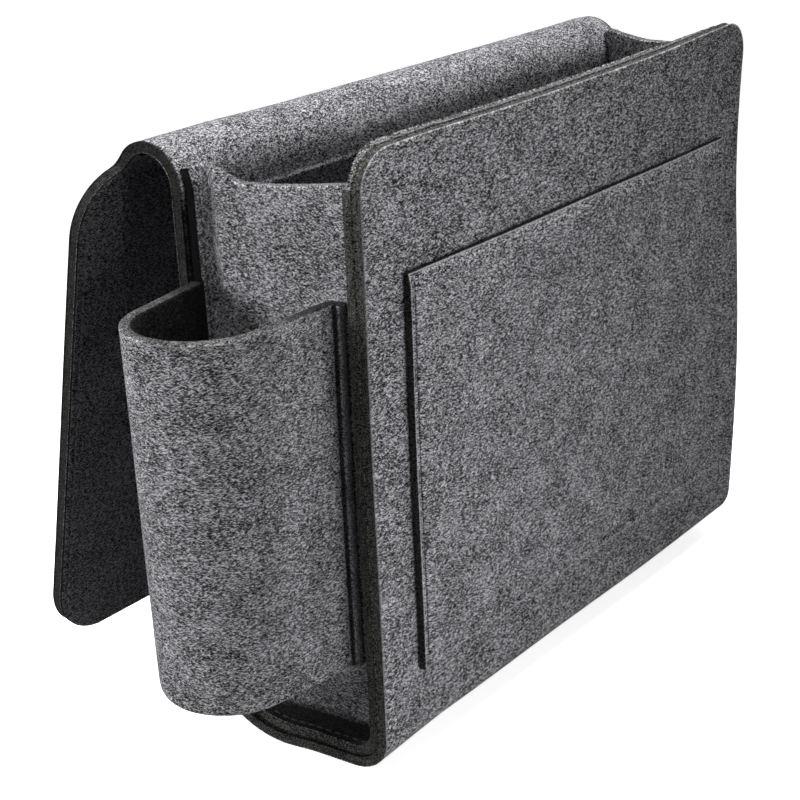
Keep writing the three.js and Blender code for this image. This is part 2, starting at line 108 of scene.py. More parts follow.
def colour(name, description, default):
    """A linear colour that a user may change."""
    return bpy.props.FloatVectorProperty(
        name=name, description=description, default=default, subtype="COLOR", size=3, min=0, max=1
    )


class CaddySizes(bpy.types.PropertyGroup):
    """Sizes of the caddy's felt pieces."""

    felt: length("Felt", "Thickness of the felt", 0.0042)
    gap: length("Layer gap", "Room between two layers", 0.0003)
    facing: length("Facing", "Thickness of the dark facing", 0.0012)
    rounding: length("Edge rounding", "Radius that wears on to a cut edge", 0.0005)
    front_width: length("Front width", "Width of the front panel", 0.262)
    back_width: length("Back width", "Width of the back wall", WRAP_BOX[1].x - WRAP_BOX[0].x)
    height: length("Height", "Height of the front panel", WRAP_BOX[1].z)
    front_y: length("Front face", "Place of the front face", WRAP_BOX[0].y)
    back_y: length("Back face", "Place of the back wall's outer face", 0.0405)
    front_fold: length("Front fold", "Radius of the fold under the front panel", 0.0145)
    back_fold: length("Back fold", "Depth of the fold under the back wall", 0.036)
    back_fold_rise: length("Back fold rise", "Height of the fold under the back wall", 0.026)
    corner: length("Top corner", "Radius of the front panel's top corners", 0.015)
    ridge_radius: length("Ridge radius", "Inner radius of the ridge", 0.012)
    ridge_z: length("Ridge centre", "Height of the ridge's centre", 0.2206)
    lining_inset: length("Lining inset", "How far the front lining stops inside the panel", 0.0023)
    lining_shift: length("Lining shift", "How far the front lining's top lies to the right", 0.0015)
    lining_drop: length("Lining drop", "How far the front lining's right corner lies lower", 0.0013)
    gusset_recess: length("Gusset recess", "How far the gussets stand in from the edges", 0.007)
    gusset_fold: length("Gusset fold", "Radius between a gusset and its margin", 0.0042)
    pocket_felt: length("Pocket felt", "Thickness of the front pocket's felt", 0.0032)
    pocket_gape: length("Pocket gape", "How far the front pocket's mouth stands open", 0.0003)
    bottle_base: length("Bottle pocket base", "Height of the bottle pocket's lower edge", 0.0426)
    bottle_height: length("Bottle pocket height", "Height of the bottle pocket", 0.1446)
    bottle_margin: length("Bottle pocket margin", "Width of the bottle pocket's sewn margin", 0.0030)
    bottle_front: length("Bottle pocket front", "Distance of its front bend from the front face", 0.0165)
    flap_length: length("Flap length", "Length of the mattress flap below its hinge", 0.2053)
    flap_flare: length("Flap flare", "How much wider the flap is than the ridge, each side", 0.0215)
    flap_corner: length("Flap corner", "Radius of the flap's bottom corners", 0.0245)
    flap_neck: length("Flap neck", "Radius where the flap leaves the ridge", 0.005)
    flap_shoulder: length("Flap shoulder", "Radius of the flap's shoulders", 0.0232)
    flap_spread: bpy.props.FloatProperty(
        name="Flap spread", description="Lean of the flap", default=math.radians(13), subtype="ANGLE"
    )
    stitch_inset: length("Stitch inset", "Distance of a seam from its edge", 0.003)
    stitch_pitch: length("Stitch pitch", "Length of a stitch with its gap", 0.0042)
    stitch_length: length("Stitch length", "Length of a stitch", 0.0034)
    thread: length("Thread", "Thickness of the thread", 0.0008)


class CaddyColours(bpy.types.PropertyGroup):
    """Colours of the caddy's materials."""

    # The light fibres' colour is also what painted highlights along cut edges mix towards
    felt_light_and_highlight: colour("Light fibres", "Light fibres of the grey felt", (0.5, 0.495, 0.522))
    felt_mid: colour("Felt", "Middle tone of the grey felt", (0.122, 0.121, 0.130))
    # The dark fibres' colour, made darker still, is also what painted shade mixes towards
    felt_dark_and_shade: colour("Dark fibres", "Dark fibres of the grey felt", (0.008, 0.008, 0.009))
    raw_edge: colour("Raw edge", "Cut edge of the felt", (0.03, 0.03, 0.028))
    facing: colour("Facing", "Dark facing cloth", (0.041, 0.041, 0.0455))
    thread: colour("Thread", "Sewing thread", (0.012, 0.012, 0.013))
    floor: colour("Floor", "Studio floor", (0.9, 0.9, 0.9))


def sizes():
    """The scene's sizes."""
    return bpy.context.scene.caddy_sizes


def colours():
    """The scene's colours."""
    return bpy.context.scene.caddy_colours


# Paths


def unit(vectors):
    """Vectors scaled to length one."""
    return vectors / np.maximum(np.linalg.norm(vectors, axis=-1, keepdims=True), VANISHING)


def arc(centre, radii, start, end, steps=None):
    """Points centre + (first radius cos a, second radius sin a), with a running evenly from start to end."""
    steps = steps or max(2, int(abs(end - start) / ARC_STEP))
    angle = np.linspace(start, end, steps + 1)
    return np.stack([centre[0] + radii[0] * np.cos(angle), centre[1] + radii[1] * np.sin(angle)], 1)


def travelled(points):
    """Distance along a polyline at each of its points."""
    return np.concatenate([[0], np.cumsum(np.linalg.norm(np.diff(points, axis=0), axis=1))])


def along_path(places, lengths, values):
    """Values at places along a path, on straight lines between those at its points."""
    return np.stack([np.interp(places, lengths, values[:, k]) for k in range(values.shape[1])], -1)


def resample(points, step):
    """Points a step apart along a polyline."""
    lengths = travelled(points)
    return along_path(np.arange(0, lengths[-1], step), lengths, points)


def spread(start, end, step):
    """Even places from start to end, no further apart than step."""
    count = max(1, int(math.ceil(abs(end - start) / step - TINY)))
    return np.linspace(start, end, count + 1)


def joined(*parts):
    """Rising places with near doubles taken out."""
    places = np.unique(np.concatenate(parts))
    return places[np.concatenate([[True], np.diff(places) > NEAR_DOUBLE])]


class FoldLine:
    """A line in the plane of y and z, read by the distance along it. Its ends are where its sections stop."""

    SHORT = 1e-5

    def __init__(self, *sections):
        points = np.concatenate(sections)
        steps = np.linalg.norm(np.diff(points, axis=0), axis=1)
        self.points = points[np.concatenate([[True], steps > TINY])]
        self.along = travelled(self.points)
        counts = np.cumsum([len(section) for section in sections])
        self.ends = np.array([travelled(points[:count])[-1] for count in counts])

    def at(self, distance):
        """The point at a distance, on straight lines between the path's points."""
        return along_path(distance, self.along, self.points)

    def direction(self, distance):
        """The unit direction of travel, from a short central difference."""
        ahead = self.at(np.minimum(distance + self.SHORT, self.along[-1]))
        behind = self.at(np.maximum(distance - self.SHORT, 0))
        return unit(ahead - behind)

    def normal(self, distance):
        """The unit normal in x, y and z: the direction of travel (y, z) turned to (0, z, -y)."""
        step = self.direction(distance)
        return np.stack([np.zeros(len(step)), step[:, 1], -step[:, 0]], 1)


# How the felt settles: amounts in metres, and stretches as a start, a length and, for two of them, a limit
RIGHT_STRETCH = (0.03, 0.1, 1.4)
TOP_STRETCH = (0.19, 0.05)
TOP_MOST = 1.1
TOP_SHIFT = 0.0014
TOP_LIFT = 0.0024
TOP_SAG = 0.0010
TOP_SAG_HALF = 0.09
BOW_MEAN = -0.0008
BOW_SWING = 0.0034
BOW_CREST = 0.074
BOW_LENGTH = 0.232
FOLD_LIFT = 0.0010
FOLD_LIFT_RIGHT = 0.0026
FOLD_RIGHT_STRETCH = (-0.135, 0.04)
FOLD_DEPTH = 0.03
FOLD_EASE = 0.02
FOOT_LIFT = 0.0011
FOOT_HEIGHT = 0.1
ARCH_LIFT = 0.0013
ARCH_MIDDLE = -0.008
ARCH_WIDTH = 0.014
ARCH_STRETCH = (-0.05, -0.06)
ARCH_HEIGHT = 0.04
RIDGE_SAG = 0.0014
RIDGE_SAG_MIDDLE = 0.03
RIDGE_SAG_HALF = 0.13
RIDGE_STRETCH = (0.1, 0.1)
WAVE_DEPTH = 0.0004
WAVE_SLANT = np.array([31, 0, 17])
WAVE_CROSS = np.array([-19, 40, 23])
WAVE_PHASE = 1.0
NARROWING = 0.0066
NARROW_STRETCH = (-0.06, 0.199, 1.2)
NARROW_EASE = ([0.0575, HINGE.y - 0.0008], [1, 0])


def grown(values, start, span, most=1.0):
    """How far values have come from a start, as a share of a span, held between 0 and the most."""
    return np.clip((values - start) / span, 0, most)


def settle(points):
    """Points moved as felt gives a little.

    Along x the right end bows by a cosine of the height and its top shifts. Along y the panels wave, by the
    product of two sines, and the right end behind the opening is narrower. Along z the front fold, the right
    foot, the right top corner and the left of the base lift, while the front's top edge and the ridge sag."""
    size = sizes()
    x, y, z = points[..., 0], points[..., 1], points[..., 2]
    forward = np.clip((size.back_y - y) / (size.back_y - size.front_y), 0, 1)
    right = grown(x, *RIGHT_STRETCH) ** 2
    top = grown(z, *TOP_STRETCH, TOP_MOST) * forward
    bow = BOW_MEAN + BOW_SWING * np.cos(2 * np.pi * (z - BOW_CREST) / BOW_LENGTH)
    fold = FOLD_LIFT + FOLD_LIFT_RIGHT * grown(x, *FOLD_RIGHT_STRETCH)
    fold = fold * grown(y, size.front_y + FOLD_DEPTH, -FOLD_EASE)
    lift = (fold + FOOT_LIFT * right * forward) * np.clip(1 - z / FOOT_HEIGHT, 0, 1)
    arch = ARCH_LIFT * np.exp(-(((y - ARCH_MIDDLE) / ARCH_WIDTH) ** 2))
    arch = arch * grown(x, *ARCH_STRETCH) * np.clip(1 - z / ARCH_HEIGHT, 0, 1)
    sag = TOP_SAG * np.clip(1 - (x / TOP_SAG_HALF) ** 2, 0, 1) * top
    ridge = np.clip(1 - ((x - RIDGE_SAG_MIDDLE) / RIDGE_SAG_HALF) ** 4, 0, 1)
    ridge = RIDGE_SAG * ridge * grown(z, *RIDGE_STRETCH) * (1 - forward)
    wave = WAVE_DEPTH * np.sin(points @ WAVE_SLANT) * np.sin(points @ WAVE_CROSS + WAVE_PHASE)
    narrow = NARROWING * grown(x, *NARROW_STRETCH) ** 2 * (1 - forward) * np.interp(y, *NARROW_EASE)
    moved = np.array(points, float)
    moved[..., 0] += bow * right * forward + TOP_SHIFT * right * grown(z, *TOP_STRETCH)
    moved[..., 1] += wave - narrow
    moved[..., 2] += lift + TOP_LIFT * right * top + arch - sag - ridge
    return moved


# Sheets

ROUNDING_SHARE = 0.7
SEAM_BLOCK = 2000


def across_places():
    """Places from -1 to 1 across a sheet, close together near both edges."""
    half = sizes().back_width / 2
    edge = 1 - EDGE_PLACES / half
    middle = spread(0, edge[-1], FLAT_STEP / half)
    side = np.unique(np.concatenate([middle, edge]))
    return np.concatenate([-side[::-1], side[1:]])


def corner_places():
    """Distances below the top edge of points at even angles round a top corner: radius times (1 - cos a)."""
    return sizes().corner * (1 - np.cos(np.linspace(0, QUARTER, CORNER_STEPS)))


def corner_loss(distance):
    """What a round top corner takes off the half width: radius - sqrt(radius^2 - rise^2)."""
    radius = sizes().corner
    rise = np.clip(radius - distance, 0, radius)
    return radius - np.sqrt(np.maximum(radius**2 - rise**2, 0))


def line_sheet(line, half, places):
    """Grid of a sheet along a line: x is the half width times the place across, y and z lie on the line."""
    across = across_places()
    x = half[:, None] * across
    points = np.concatenate([x[..., None], np.repeat(line.at(places)[:, None], len(across), 1)], -1)
    cloth = np.stack([x, np.repeat(places[:, None], len(across), 1)], -1)
    return points, cloth, np.repeat(line.normal(places)[:, None], len(across), 1)


def seam_dip(cloth, seam, width, depth):
    """How much thinner felt is pulled at a seam: depth times exp(-(distance / width) squared)."""
    flat = cloth.reshape(-1, 2)
    nearest = np.full(len(flat), np.inf)
    for block in np.array_split(np.arange(len(flat)), max(1, len(flat) // SEAM_BLOCK)):
        gap = np.linalg.norm(flat[block, None] - seam[None], axis=-1)
        nearest[block] = gap.min(1)
    return (depth * np.exp(-(nearest / width) ** 2)).reshape(cloth.shape[:-1])


def grid_normals(points):
    """Unit normals of a grid: across difference crossed with along difference."""
    return unit(np.cross(np.gradient(points, axis=1), np.gradient(points, axis=0)))


def perimeter(rows, columns):
    """Indices round a grid's edge, along the first row, down the last column, and back."""
    index = np.arange(rows * columns).reshape(rows, columns)
    return np.concatenate([index[0], index[1:, -1], index[-1, -2::-1], index[-2:0:-1, 0]])


def quads(index):
    """Faces of a grid of vertex indices, facing the way of its normals."""
    return np.stack([index[:-1, :-1], index[:-1, 1:], index[1:, 1:], index[1:, :-1]], -1).reshape(-1, 4)


def every(value, shape):
    """A value at every place of a grid, in one row."""
    return np.broadcast_to(value, shape).reshape(-1)


def felt_sheet(points, cloth, thickness, raw=1.0, loop=None, normals=None, lips=(0.0, 0.0),
               shade=(0.0, 0.0, 0.0)):
    """A closed sheet: both faces lie half the thickness off the grid, and a round-cornered band joins them.

    The band's section runs (half - r + r cos a, r sin a) off the grid's edge, with a from 0 to a right angle,
    and back again on the other face. Lips are the rawness of both faces along their edge, where below 0
    paints a highlight and above 0 a darker line; shade is the painted shade on the two faces and the band.
    Returns vertices, faces, cloth coordinates, rawness and shade."""
    grid = points.shape[:2]
    count = grid[0] * grid[1]
    loop = perimeter(*grid) if loop is None else loop
    normals = (grid_normals(points) if normals is None else normals).reshape(-1, 3)
    middle = points.reshape(-1, 3).copy()
    half = every(np.asarray(thickness) / 2, grid)
    ring = middle[loop]
    outward = unit(np.cross(unit(np.roll(ring, -1, 0) - np.roll(ring, 1, 0)), normals[loop]))
    rounding = min(sizes().rounding, half.min() * ROUNDING_SHARE)
    middle[loop] -= rounding * outward

    angle = np.linspace(0, QUARTER, EDGE_STEPS + 1)[1:]
    angles = np.concatenate([angle, angle[::-1]])[:, None]
    facing = np.repeat([1, -1], EDGE_STEPS)[:, None]
    level = facing * (half[loop] - rounding + rounding * np.cos(angles))
    band = middle[loop] + level[..., None] * normals[loop] + (rounding * np.sin(angles))[..., None] * outward
    offset = half[:, None] * normals
    vertices = np.concatenate([middle + offset, middle - offset, band.reshape(-1, 3)])

    flat = cloth.reshape(-1, 2)
    band_cloth = np.concatenate([np.broadcast_to(flat[loop], level.shape + (2,)), level[..., None]], -1)
    cloth_places = np.concatenate([
        np.column_stack([flat, half]), np.column_stack([flat, -half]), band_cloth.reshape(-1, 3),
    ])
    rawness = np.concatenate([np.zeros(2 * count), every(angles / QUARTER * raw, level.shape)])
    rawness[loop] = lips[0]
    rawness[count + loop] = lips[1]
    dark = np.concatenate([every(shade[0], grid), every(shade[1], grid), every(shade[2], level.shape)])

    index = np.arange(count).reshape(grid)
    band_index = 2 * count + np.arange(level.size).reshape(level.shape)
    rings = np.concatenate([loop[None], band_index, count + loop[None]])
    rings = np.concatenate([rings, rings[:, :1]], 1)
    faces = np.concatenate([quads(index), (quads(index) + count)[:, ::-1], quads(rings)[:, TURNED_OVER]])
    return settle(vertices), faces, cloth_places, rawness, dark


def panel_sheet(half, top, bottom, places, y, thickness, raw=1.0, shade=(0.0, 0.0, 0.0)):
    """A flat upright sheet that faces the front: x is half width times place across, z falls from the top."""
    line = FoldLine(np.array([[y, top], [y, bottom]]))
    points, cloth, normals = line_sheet(line, half, places)
    return felt_sheet(points, cloth, thickness, raw, None, normals, shade=shade)


def make_piece(name, sheet, material, merge=False):
    """A mesh object at the origin from vertices, faces, cloth coordinates, rawness and shade."""
    vertices, faces, cloth, raw, shade = sheet
    if not np.isfinite(vertices).all():
        raise RuntimeError(f"{name} has points that aren't numbers")
    mesh = bpy.data.meshes.new(name)
    mesh.from_pydata(vertices.tolist(), [], faces.tolist())
    attributes = (
        ("cloth", "FLOAT_VECTOR", "vector", cloth),
        ("raw", "FLOAT", "value", raw),
        ("shade", "FLOAT", "value", shade),
    )
    for label, kind, field, values in attributes:
        attribute = mesh.attributes.new(label, kind, "POINT")
        attribute.data.foreach_set(field, values.astype(np.float32).ravel())
    if merge:
        work = bmesh.new()
        work.from_mesh(mesh)
        bmesh.ops.remove_doubles(work, verts=work.verts, dist=MERGE_DISTANCE)
        work.to_mesh(mesh)
        work.free()
    mesh.update()
    mesh.shade_smooth()
    mesh.materials.append(material)
    piece = bpy.data.objects.new(name, mesh)
    bpy.context.scene.collection.objects.link(piece)
    return piece


# Shader maths


class Socket:
    """An output socket whose arithmetic adds Math nodes beside it."""

    def __init__(self, finish, socket):
        self.finish = finish
        self.socket = socket

    def math(self, operation, first, second):
        """A Math node on two values."""
        return self.finish.node("ShaderNodeMath", {"operation": operation}, {0: first, 1: second})

    def __add__(self, other):
        return self.math("ADD", self, other)

    def __radd__(self, other):
        return self.math("ADD", other, self)

    def __sub__(self, other):
        return self.math("SUBTRACT", self, other)

    def __rsub__(self, other):
        return self.math("SUBTRACT", other, self)

    def __mul__(self, other):
        return self.math("MULTIPLY", self, other)

    def __rmul__(self, other):
        return self.math("MULTIPLY", other, self)


class Finish:
    """The nodes of a material or a world."""

    COLOUR_MIX = {"factor": 0, "first": 6, "second": 7, "result": 2}
    SEEN_RAYS = ("Is Camera Ray", "Is Glossy Ray", "Is Transmission Ray")

    def __init__(self, owner):
        self.owner = owner
        owner.use_nodes = True
        self.tree = owner.node_tree
        self.tree.nodes.clear()

    def node(self, kind, settings=None, inputs=None, output=0):
        """Adds a node: its settings first, then its inputs as values or links; returns one of its outputs."""
        made = self.tree.nodes.new(kind)
        for name, value in (settings or {}).items():
            if name == "stops":
                ramp = made.color_ramp.elements
                while len(ramp) < len(value):
                    ramp.new(0.5)
                for stop, (place, shade) in zip(ramp, value):
                    stop.position = place
                    stop.color = shade
            else:
                setattr(made, name, value)
        for name, value in (inputs or {}).items():
            if isinstance(value, Socket):
                self.tree.links.new(value.socket, made.inputs[name])
            else:
                made.inputs[name].default_value = value
        return Socket(self, made.outputs[output])

    def attribute(self, name, output="Fac"):
        """A mesh attribute, as a number or a vector."""
        return self.node("ShaderNodeAttribute", {"attribute_name": name}, output=output)

    def placed(self, vector, scale=(1, 1, 1), turn=0.0):
        """A vector scaled and then turned about the sheet's normal."""
        inputs = {"Vector": vector, "Rotation": (0, 0, turn), "Scale": scale}
        return self.node("ShaderNodeMapping", inputs=inputs)

    def noise(self, vector, scale, detail=2.0, roughness=0.5, distortion=0.0):
        """Noise about 0.5."""
        return self.node("ShaderNodeTexNoise", inputs={
            "Vector": vector, "Scale": scale, "Detail": detail, "Roughness": roughness,
            "Distortion": distortion})

    def ramp(self, value, *stops):
        """A value's colour between stops, each a place and a colour."""
        return self.node("ShaderNodeValToRGB", {"stops": stops}, {"Fac": value})

    def range(self, value, low, high, first=0.0, last=1.0):
        """A value taken from one range to another, and held at the ends."""
        return self.node("ShaderNodeMapRange", inputs={
            "Value": value, "From Min": low, "From Max": high, "To Min": first, "To Max": last})

    def mix(self, factor, first, second):
        """Two colours mixed."""
        place = self.COLOUR_MIX
        inputs = {place["factor"]: factor, place["first"]: first, place["second"]: second}
        return self.node("ShaderNodeMix", {"data_type": "RGBA"}, inputs, output=place["result"])

    def seen(self, otherwise=0.0):
        """One for rays from the camera and for mirrored and transmitted ones, another value for the rest."""
        rays = sum(self.node("ShaderNodeLightPath", output=ray) for ray in self.SEEN_RAYS)
        return self.range(rays, 0.0, 1.0, otherwise, 1.0)

    def bump(self, height, strength, distance):
        """A normal that follows a height."""
        inputs = {"Strength": strength, "Distance": distance, "Height": height}
        return self.node("ShaderNodeBump", inputs=inputs)

    def surface(self, shader):
        """Ends the nodes with a shader, and returns the material or world that they belong to."""
        world = isinstance(self.owner, bpy.types.World)
        end = self.tree.nodes.new("ShaderNodeOutputWorld" if world else "ShaderNodeOutputMaterial")
        self.tree.links.new(shader.socket, end.inputs["Surface"])
        return self.owner


def rgba(shade, factor=1.0):
    """A colour made lighter or darker by a factor, with full alpha."""
    return (*[channel * factor for channel in shade], 1.0)


# Finishes. Scales are in 1/m, and a weight says how much a pattern counts about its middle

NOISE_MIDDLE = 0.5
GRAIN = (0.95, 1.3, 1.15)
SIDE_GRAIN = 1.2
MOTTLE_SCALE = 1500
MOTTLE_WEIGHT = 2.8
STRAND_SCALE = (2600, 600, 1500)
STRAND_TURNS = (0.9, 1.57, 2.3)
STRAND_WEIGHT = 3.0
TUFT_SCALE = 420
TUFT_WEIGHT = 0.7
CLOUD_SCALE = 60
CLOUD_WEIGHT = 0.75
FELT_CONTRAST = 0.625
FELT_BIAS = 0.168
LAYER_SCALE = (120, 120, 1500)
LAYER_WEIGHT = 0.7
EDGE_FIBRES = 0.8
EDGE_BIAS = 0.1
EDGE_RANGE = (0.1, 0.55)
SHADED_FELT = 0.25
FACING_CLOUD_SCALE = 35
FACING_CLOUD_WEIGHT = 0.5
SHADED_FACING = 0.05
FELT_BUMP = (0.4, 0.0003)
FELT_ROUGHNESS = (0.1, 0.9, 0.98, 0.86)
FACING_ROUGHNESS = (0.3, 0.7, 0.98, 0.88)
PLY_SCALE = 700.0
PLY_WEIGHT = 0.6
WEAR_SCALE = 260
WEAR_WEIGHT = 0.4
THREAD_BUMP = (0.6, 0.0002)
THREAD_ROUGHNESS = (0.2, 0.8, 0.75, 0.55)


def fibre_field(finish, cloth):
    """Felt's fibres about 0.5: fine mottling, short strands that lie in three directions, and soft tufts."""
    cloth = finish.placed(cloth, GRAIN)
    mottle = finish.noise(cloth, MOTTLE_SCALE, detail=3.0, roughness=0.75, distortion=0.3)
    tufts = finish.noise(cloth, TUFT_SCALE, detail=2.0, roughness=0.6, distortion=0.5)
    turned = [finish.placed(finish.placed(cloth, turn=turn), STRAND_SCALE) for turn in STRAND_TURNS]
    strands = sum(finish.noise(place, 1, detail=2.0, roughness=0.6, distortion=0.6) for place in turned)
    fine = (mottle - NOISE_MIDDLE) * MOTTLE_WEIGHT
    fine = fine + (strands - len(STRAND_TURNS) * NOISE_MIDDLE) * STRAND_WEIGHT
    return fine + (tufts - NOISE_MIDDLE) * TUFT_WEIGHT + NOISE_MIDDLE


def felt_surface(finish, base, fibres, roughness):
    """Ends a felt: matt, with a faint sheen, its fibres raised and smoother than the hollows between them."""
    return finish.surface(finish.node("ShaderNodeBsdfPrincipled", inputs={
        "Base Color": base, "Roughness": finish.range(fibres, *roughness),
        "Normal": finish.bump(fibres, *FELT_BUMP),
        "Specular IOR Level": 0.02, "Sheen Weight": 0.02, "Sheen Roughness": 0.5}))


def grey_felt():
    """Mottled pressed felt; a cut edge is darker and streaked along its layers."""
    paint = colours()
    finish = Finish(bpy.data.materials.new("mottled_felt"))
    cloth = finish.attribute("cloth", "Vector")
    raw = finish.attribute("raw")
    fibres = fibre_field(finish, cloth)
    clouds = finish.noise(cloth, CLOUD_SCALE, detail=3.0, roughness=0.6)
    tone = fibres + (clouds - NOISE_MIDDLE) * CLOUD_WEIGHT
    face = finish.ramp(
        tone * FELT_CONTRAST + FELT_BIAS,
        (0.0, rgba(paint.felt_dark_and_shade, 0.5)), (0.2, rgba(paint.felt_dark_and_shade)), (0.5, rgba(paint.felt_mid)),
        (0.8, rgba(paint.felt_light_and_highlight)), (1.0, rgba(paint.felt_light_and_highlight, 1.4)),
    )
    layers = finish.noise(finish.placed(cloth, LAYER_SCALE), 1, detail=3.0, roughness=0.6)
    edge = finish.ramp(
        (layers - NOISE_MIDDLE) * LAYER_WEIGHT + fibres * EDGE_FIBRES + EDGE_BIAS,
        (0.1, rgba(paint.raw_edge, 0.12)), (0.5, rgba(paint.raw_edge)), (0.9, rgba(paint.raw_edge, 4.5)),
    )
    # Painted highlight: rawness below 0 mixes the face towards the light fibres' colour
    face = finish.mix(finish.range(raw, 0.0, -1.0), face, rgba(paint.felt_light_and_highlight))
    base = finish.mix(finish.range(raw, *EDGE_RANGE), face, edge)
    # Painted shade: the shade attribute mixes the felt towards a near-black felt
    base = finish.mix(finish.attribute("shade"), base, rgba(paint.felt_dark_and_shade, SHADED_FELT))
    return felt_surface(finish, base, fibres, FELT_ROUGHNESS)


def dark_facing():
    """Thin dark felt with a faint fleck."""
    paint = colours()
    finish = Finish(bpy.data.materials.new("dark_felt"))
    cloth = finish.attribute("cloth", "Vector")
    fibres = fibre_field(finish, cloth)
    clouds = finish.noise(cloth, FACING_CLOUD_SCALE, detail=2.0, roughness=0.5)
    base = finish.ramp(
        fibres + (clouds - NOISE_MIDDLE) * FACING_CLOUD_WEIGHT,
        (0.28, rgba(paint.facing, 0.03)), (0.5, rgba(paint.facing, 0.55)), (0.72, rgba(paint.facing, 5.5)),
    )
    # Painted shade: the shade attribute mixes the facing towards a near-black facing
    base = finish.mix(finish.attribute("shade"), base, rgba(paint.facing, SHADED_FACING))
    return felt_surface(finish, base, fibres, FACING_ROUGHNESS)


def black_thread():
    """Twisted thread: slanting ply lines run round each stitch."""
    paint = colours()
    finish = Finish(bpy.data.materials.new("twisted_thread"))
    cloth = finish.attribute("cloth", "Vector")
    twist = finish.node("ShaderNodeTexWave", {"wave_type": "BANDS", "bands_direction": "DIAGONAL"},
                        {"Vector": cloth, "Scale": PLY_SCALE, "Distortion": 0.4}, output="Fac")
    tone = twist * PLY_WEIGHT + finish.noise(cloth, WEAR_SCALE) * WEAR_WEIGHT
    return finish.surface(finish.node("ShaderNodeBsdfPrincipled", inputs={
        "Base Color": finish.ramp(tone, (0.25, rgba(paint.thread, 0.5)), (0.75, rgba(paint.thread, 2.4))),
        "Roughness": finish.range(tone, *THREAD_ROUGHNESS), "Normal": finish.bump(twist, *THREAD_BUMP)}))


def shared(name, make):
    """A material by name, made once."""
    return bpy.data.materials.get(name) or make()


# Rawness of cut edges and of the lips beside them: 1 is cut felt, 0 is like the faces, below 0 is lighter as
# a painted highlight. The inner lips of the wrap and the front pocket paint a dark line of shade between
# layers
RAW = {
    "cut": 1.0, "lining": 0.35,
    "wrap_top": 0.52, "wrap_top_highlight": -0.45, "wrap_edge_highlight": -0.55, "wrap_inner_shade_line": 0.9,
    "gusset_top": 0.3, "gusset_lip": 0.6,
    "pocket_inner_shade_line": 1.0, "pocket_edge_highlight": -0.7,
    "bottle_top": 0.4, "bottle_margin": -0.15, "bottle_edge_highlight": -0.3,
}

# Painted shade: how much darker the felt is painted where shadow falls, in gaps, creases and recesses and on
# inward faces, from 0 for none to 1
PAINTED_SHADE = {
    "deep_shade": 0.9, "wrap_back_rim": 0.62, "back_lining": 0.25, "gusset_inner": 0.75, "gusset_back_rim": 0.96,
    "pocket_rim": 0.45, "bottle_shade_band": 0.25,
}

# Painted shade across a cut edge, from one face to the other, for the dark line of shade between layers
WRAP_TOP_BAND = np.array([0, 0, 0, 0, 0.6, 0.9])[:, None]
LINING_BAND = np.array([0.9, 0.7, 0, 0, 0, 0])[:, None]
BOTTLE_BAND = np.array([0.95, 0.9, 0.5, 0, 0, 0])[:, None]

# Width of the dip at a seam and its depth
SEAM_DIPS = {
    "flap": (0.0009, 0.0009), "flap_facing": (0.0009, 0.0004),
    "front_pocket": (0.0009, 0.0009), "bottle_pocket": (0.0007, 0.0012),
}


# Wrap

NECK_ABOVE_HINGE = 0.22
FACING_REACH = 0.016
FLAP_SEAM_START = 0.009
# Painted shade on the wrap's inner face, by distance past the gusset's face
MARGIN_SHADE = ([0, 0.002], [0, PAINTED_SHADE["deep_shade"]])


def wrap_line():
    """The middle of the wrap's felt: down the front, round both folds, up, over the ridge, down the flap."""
    size = sizes()
    half = size.felt / 2
    front = size.front_y + half
    back = size.back_y - half
    fold = size.front_fold
    ridge = (size.back_y + size.ridge_radius, size.ridge_z)
    radius = size.ridge_radius + half
    lean = size.flap_spread
    hinge = np.array(ridge) + radius * np.array([math.cos(lean), math.sin(lean)])
    flap_end = hinge + size.flap_length * np.array([math.sin(lean), -math.cos(lean)])
    back_radii = (size.back_fold - half, size.back_fold_rise - half)
    return FoldLine(
        np.array([[front, size.height], [front, fold]]),
        arc((size.front_y + fold, fold), (fold - half,) * 2, math.pi, 3 * QUARTER),
        arc((size.back_y - size.back_fold, size.back_fold_rise), back_radii, 3 * QUARTER, 4 * QUARTER),
        np.array([[back, size.back_fold_rise], [back, size.ridge_z]]),
        arc(ridge, (radius,) * 2, math.pi, lean),
        np.array([hinge, flap_end]),
    )


def flap_edge():
    """Half width of the flap by distance below the hinge: neck arc, shoulder arc, straight side, corner."""
    size = sizes()
    neck, shoulder, corner = size.flap_neck, size.flap_shoulder, size.flap_corner
    narrow = size.back_width / 2
    wide = narrow + size.flap_flare
    turn = math.acos(1 - size.flap_flare / (neck + shoulder))
    drop = (neck + shoulder) * math.sin(turn)
    start = -drop * NECK_ABOVE_HINGE
    swing = np.linspace(0, turn, NECK_STEPS)
    bend = np.linspace(0, QUARTER, FLAP_CORNER_STEPS)
    down = np.concatenate([
        start + neck * np.sin(swing),
        start + drop - shoulder * np.sin(swing[::-1]),
        size.flap_length - corner + corner * np.sin(bend),
    ])
    across = np.concatenate([
        narrow + neck * (1 - np.cos(swing)),
        wide - shoulder * (1 - np.cos(swing[::-1])),
        wide - corner + corner * np.cos(bend),
    ])
    return down, across


def wrap_half_width(line, distance):
    """Half width of the wrap: rounded front corners, widening along the base, then the flap's own edge."""
    size = sizes()
    depths = [size.front_y + size.felt, size.back_y - size.felt]
    base = np.interp(line.at(distance)[..., 0], depths, [size.front_width / 2, size.back_width / 2])
    hinge = line.ends[-2]
    down, across = flap_edge()
    flap = np.interp(distance - hinge, down, across)
    return np.where(distance < hinge + down[0], base - corner_loss(distance), flap)


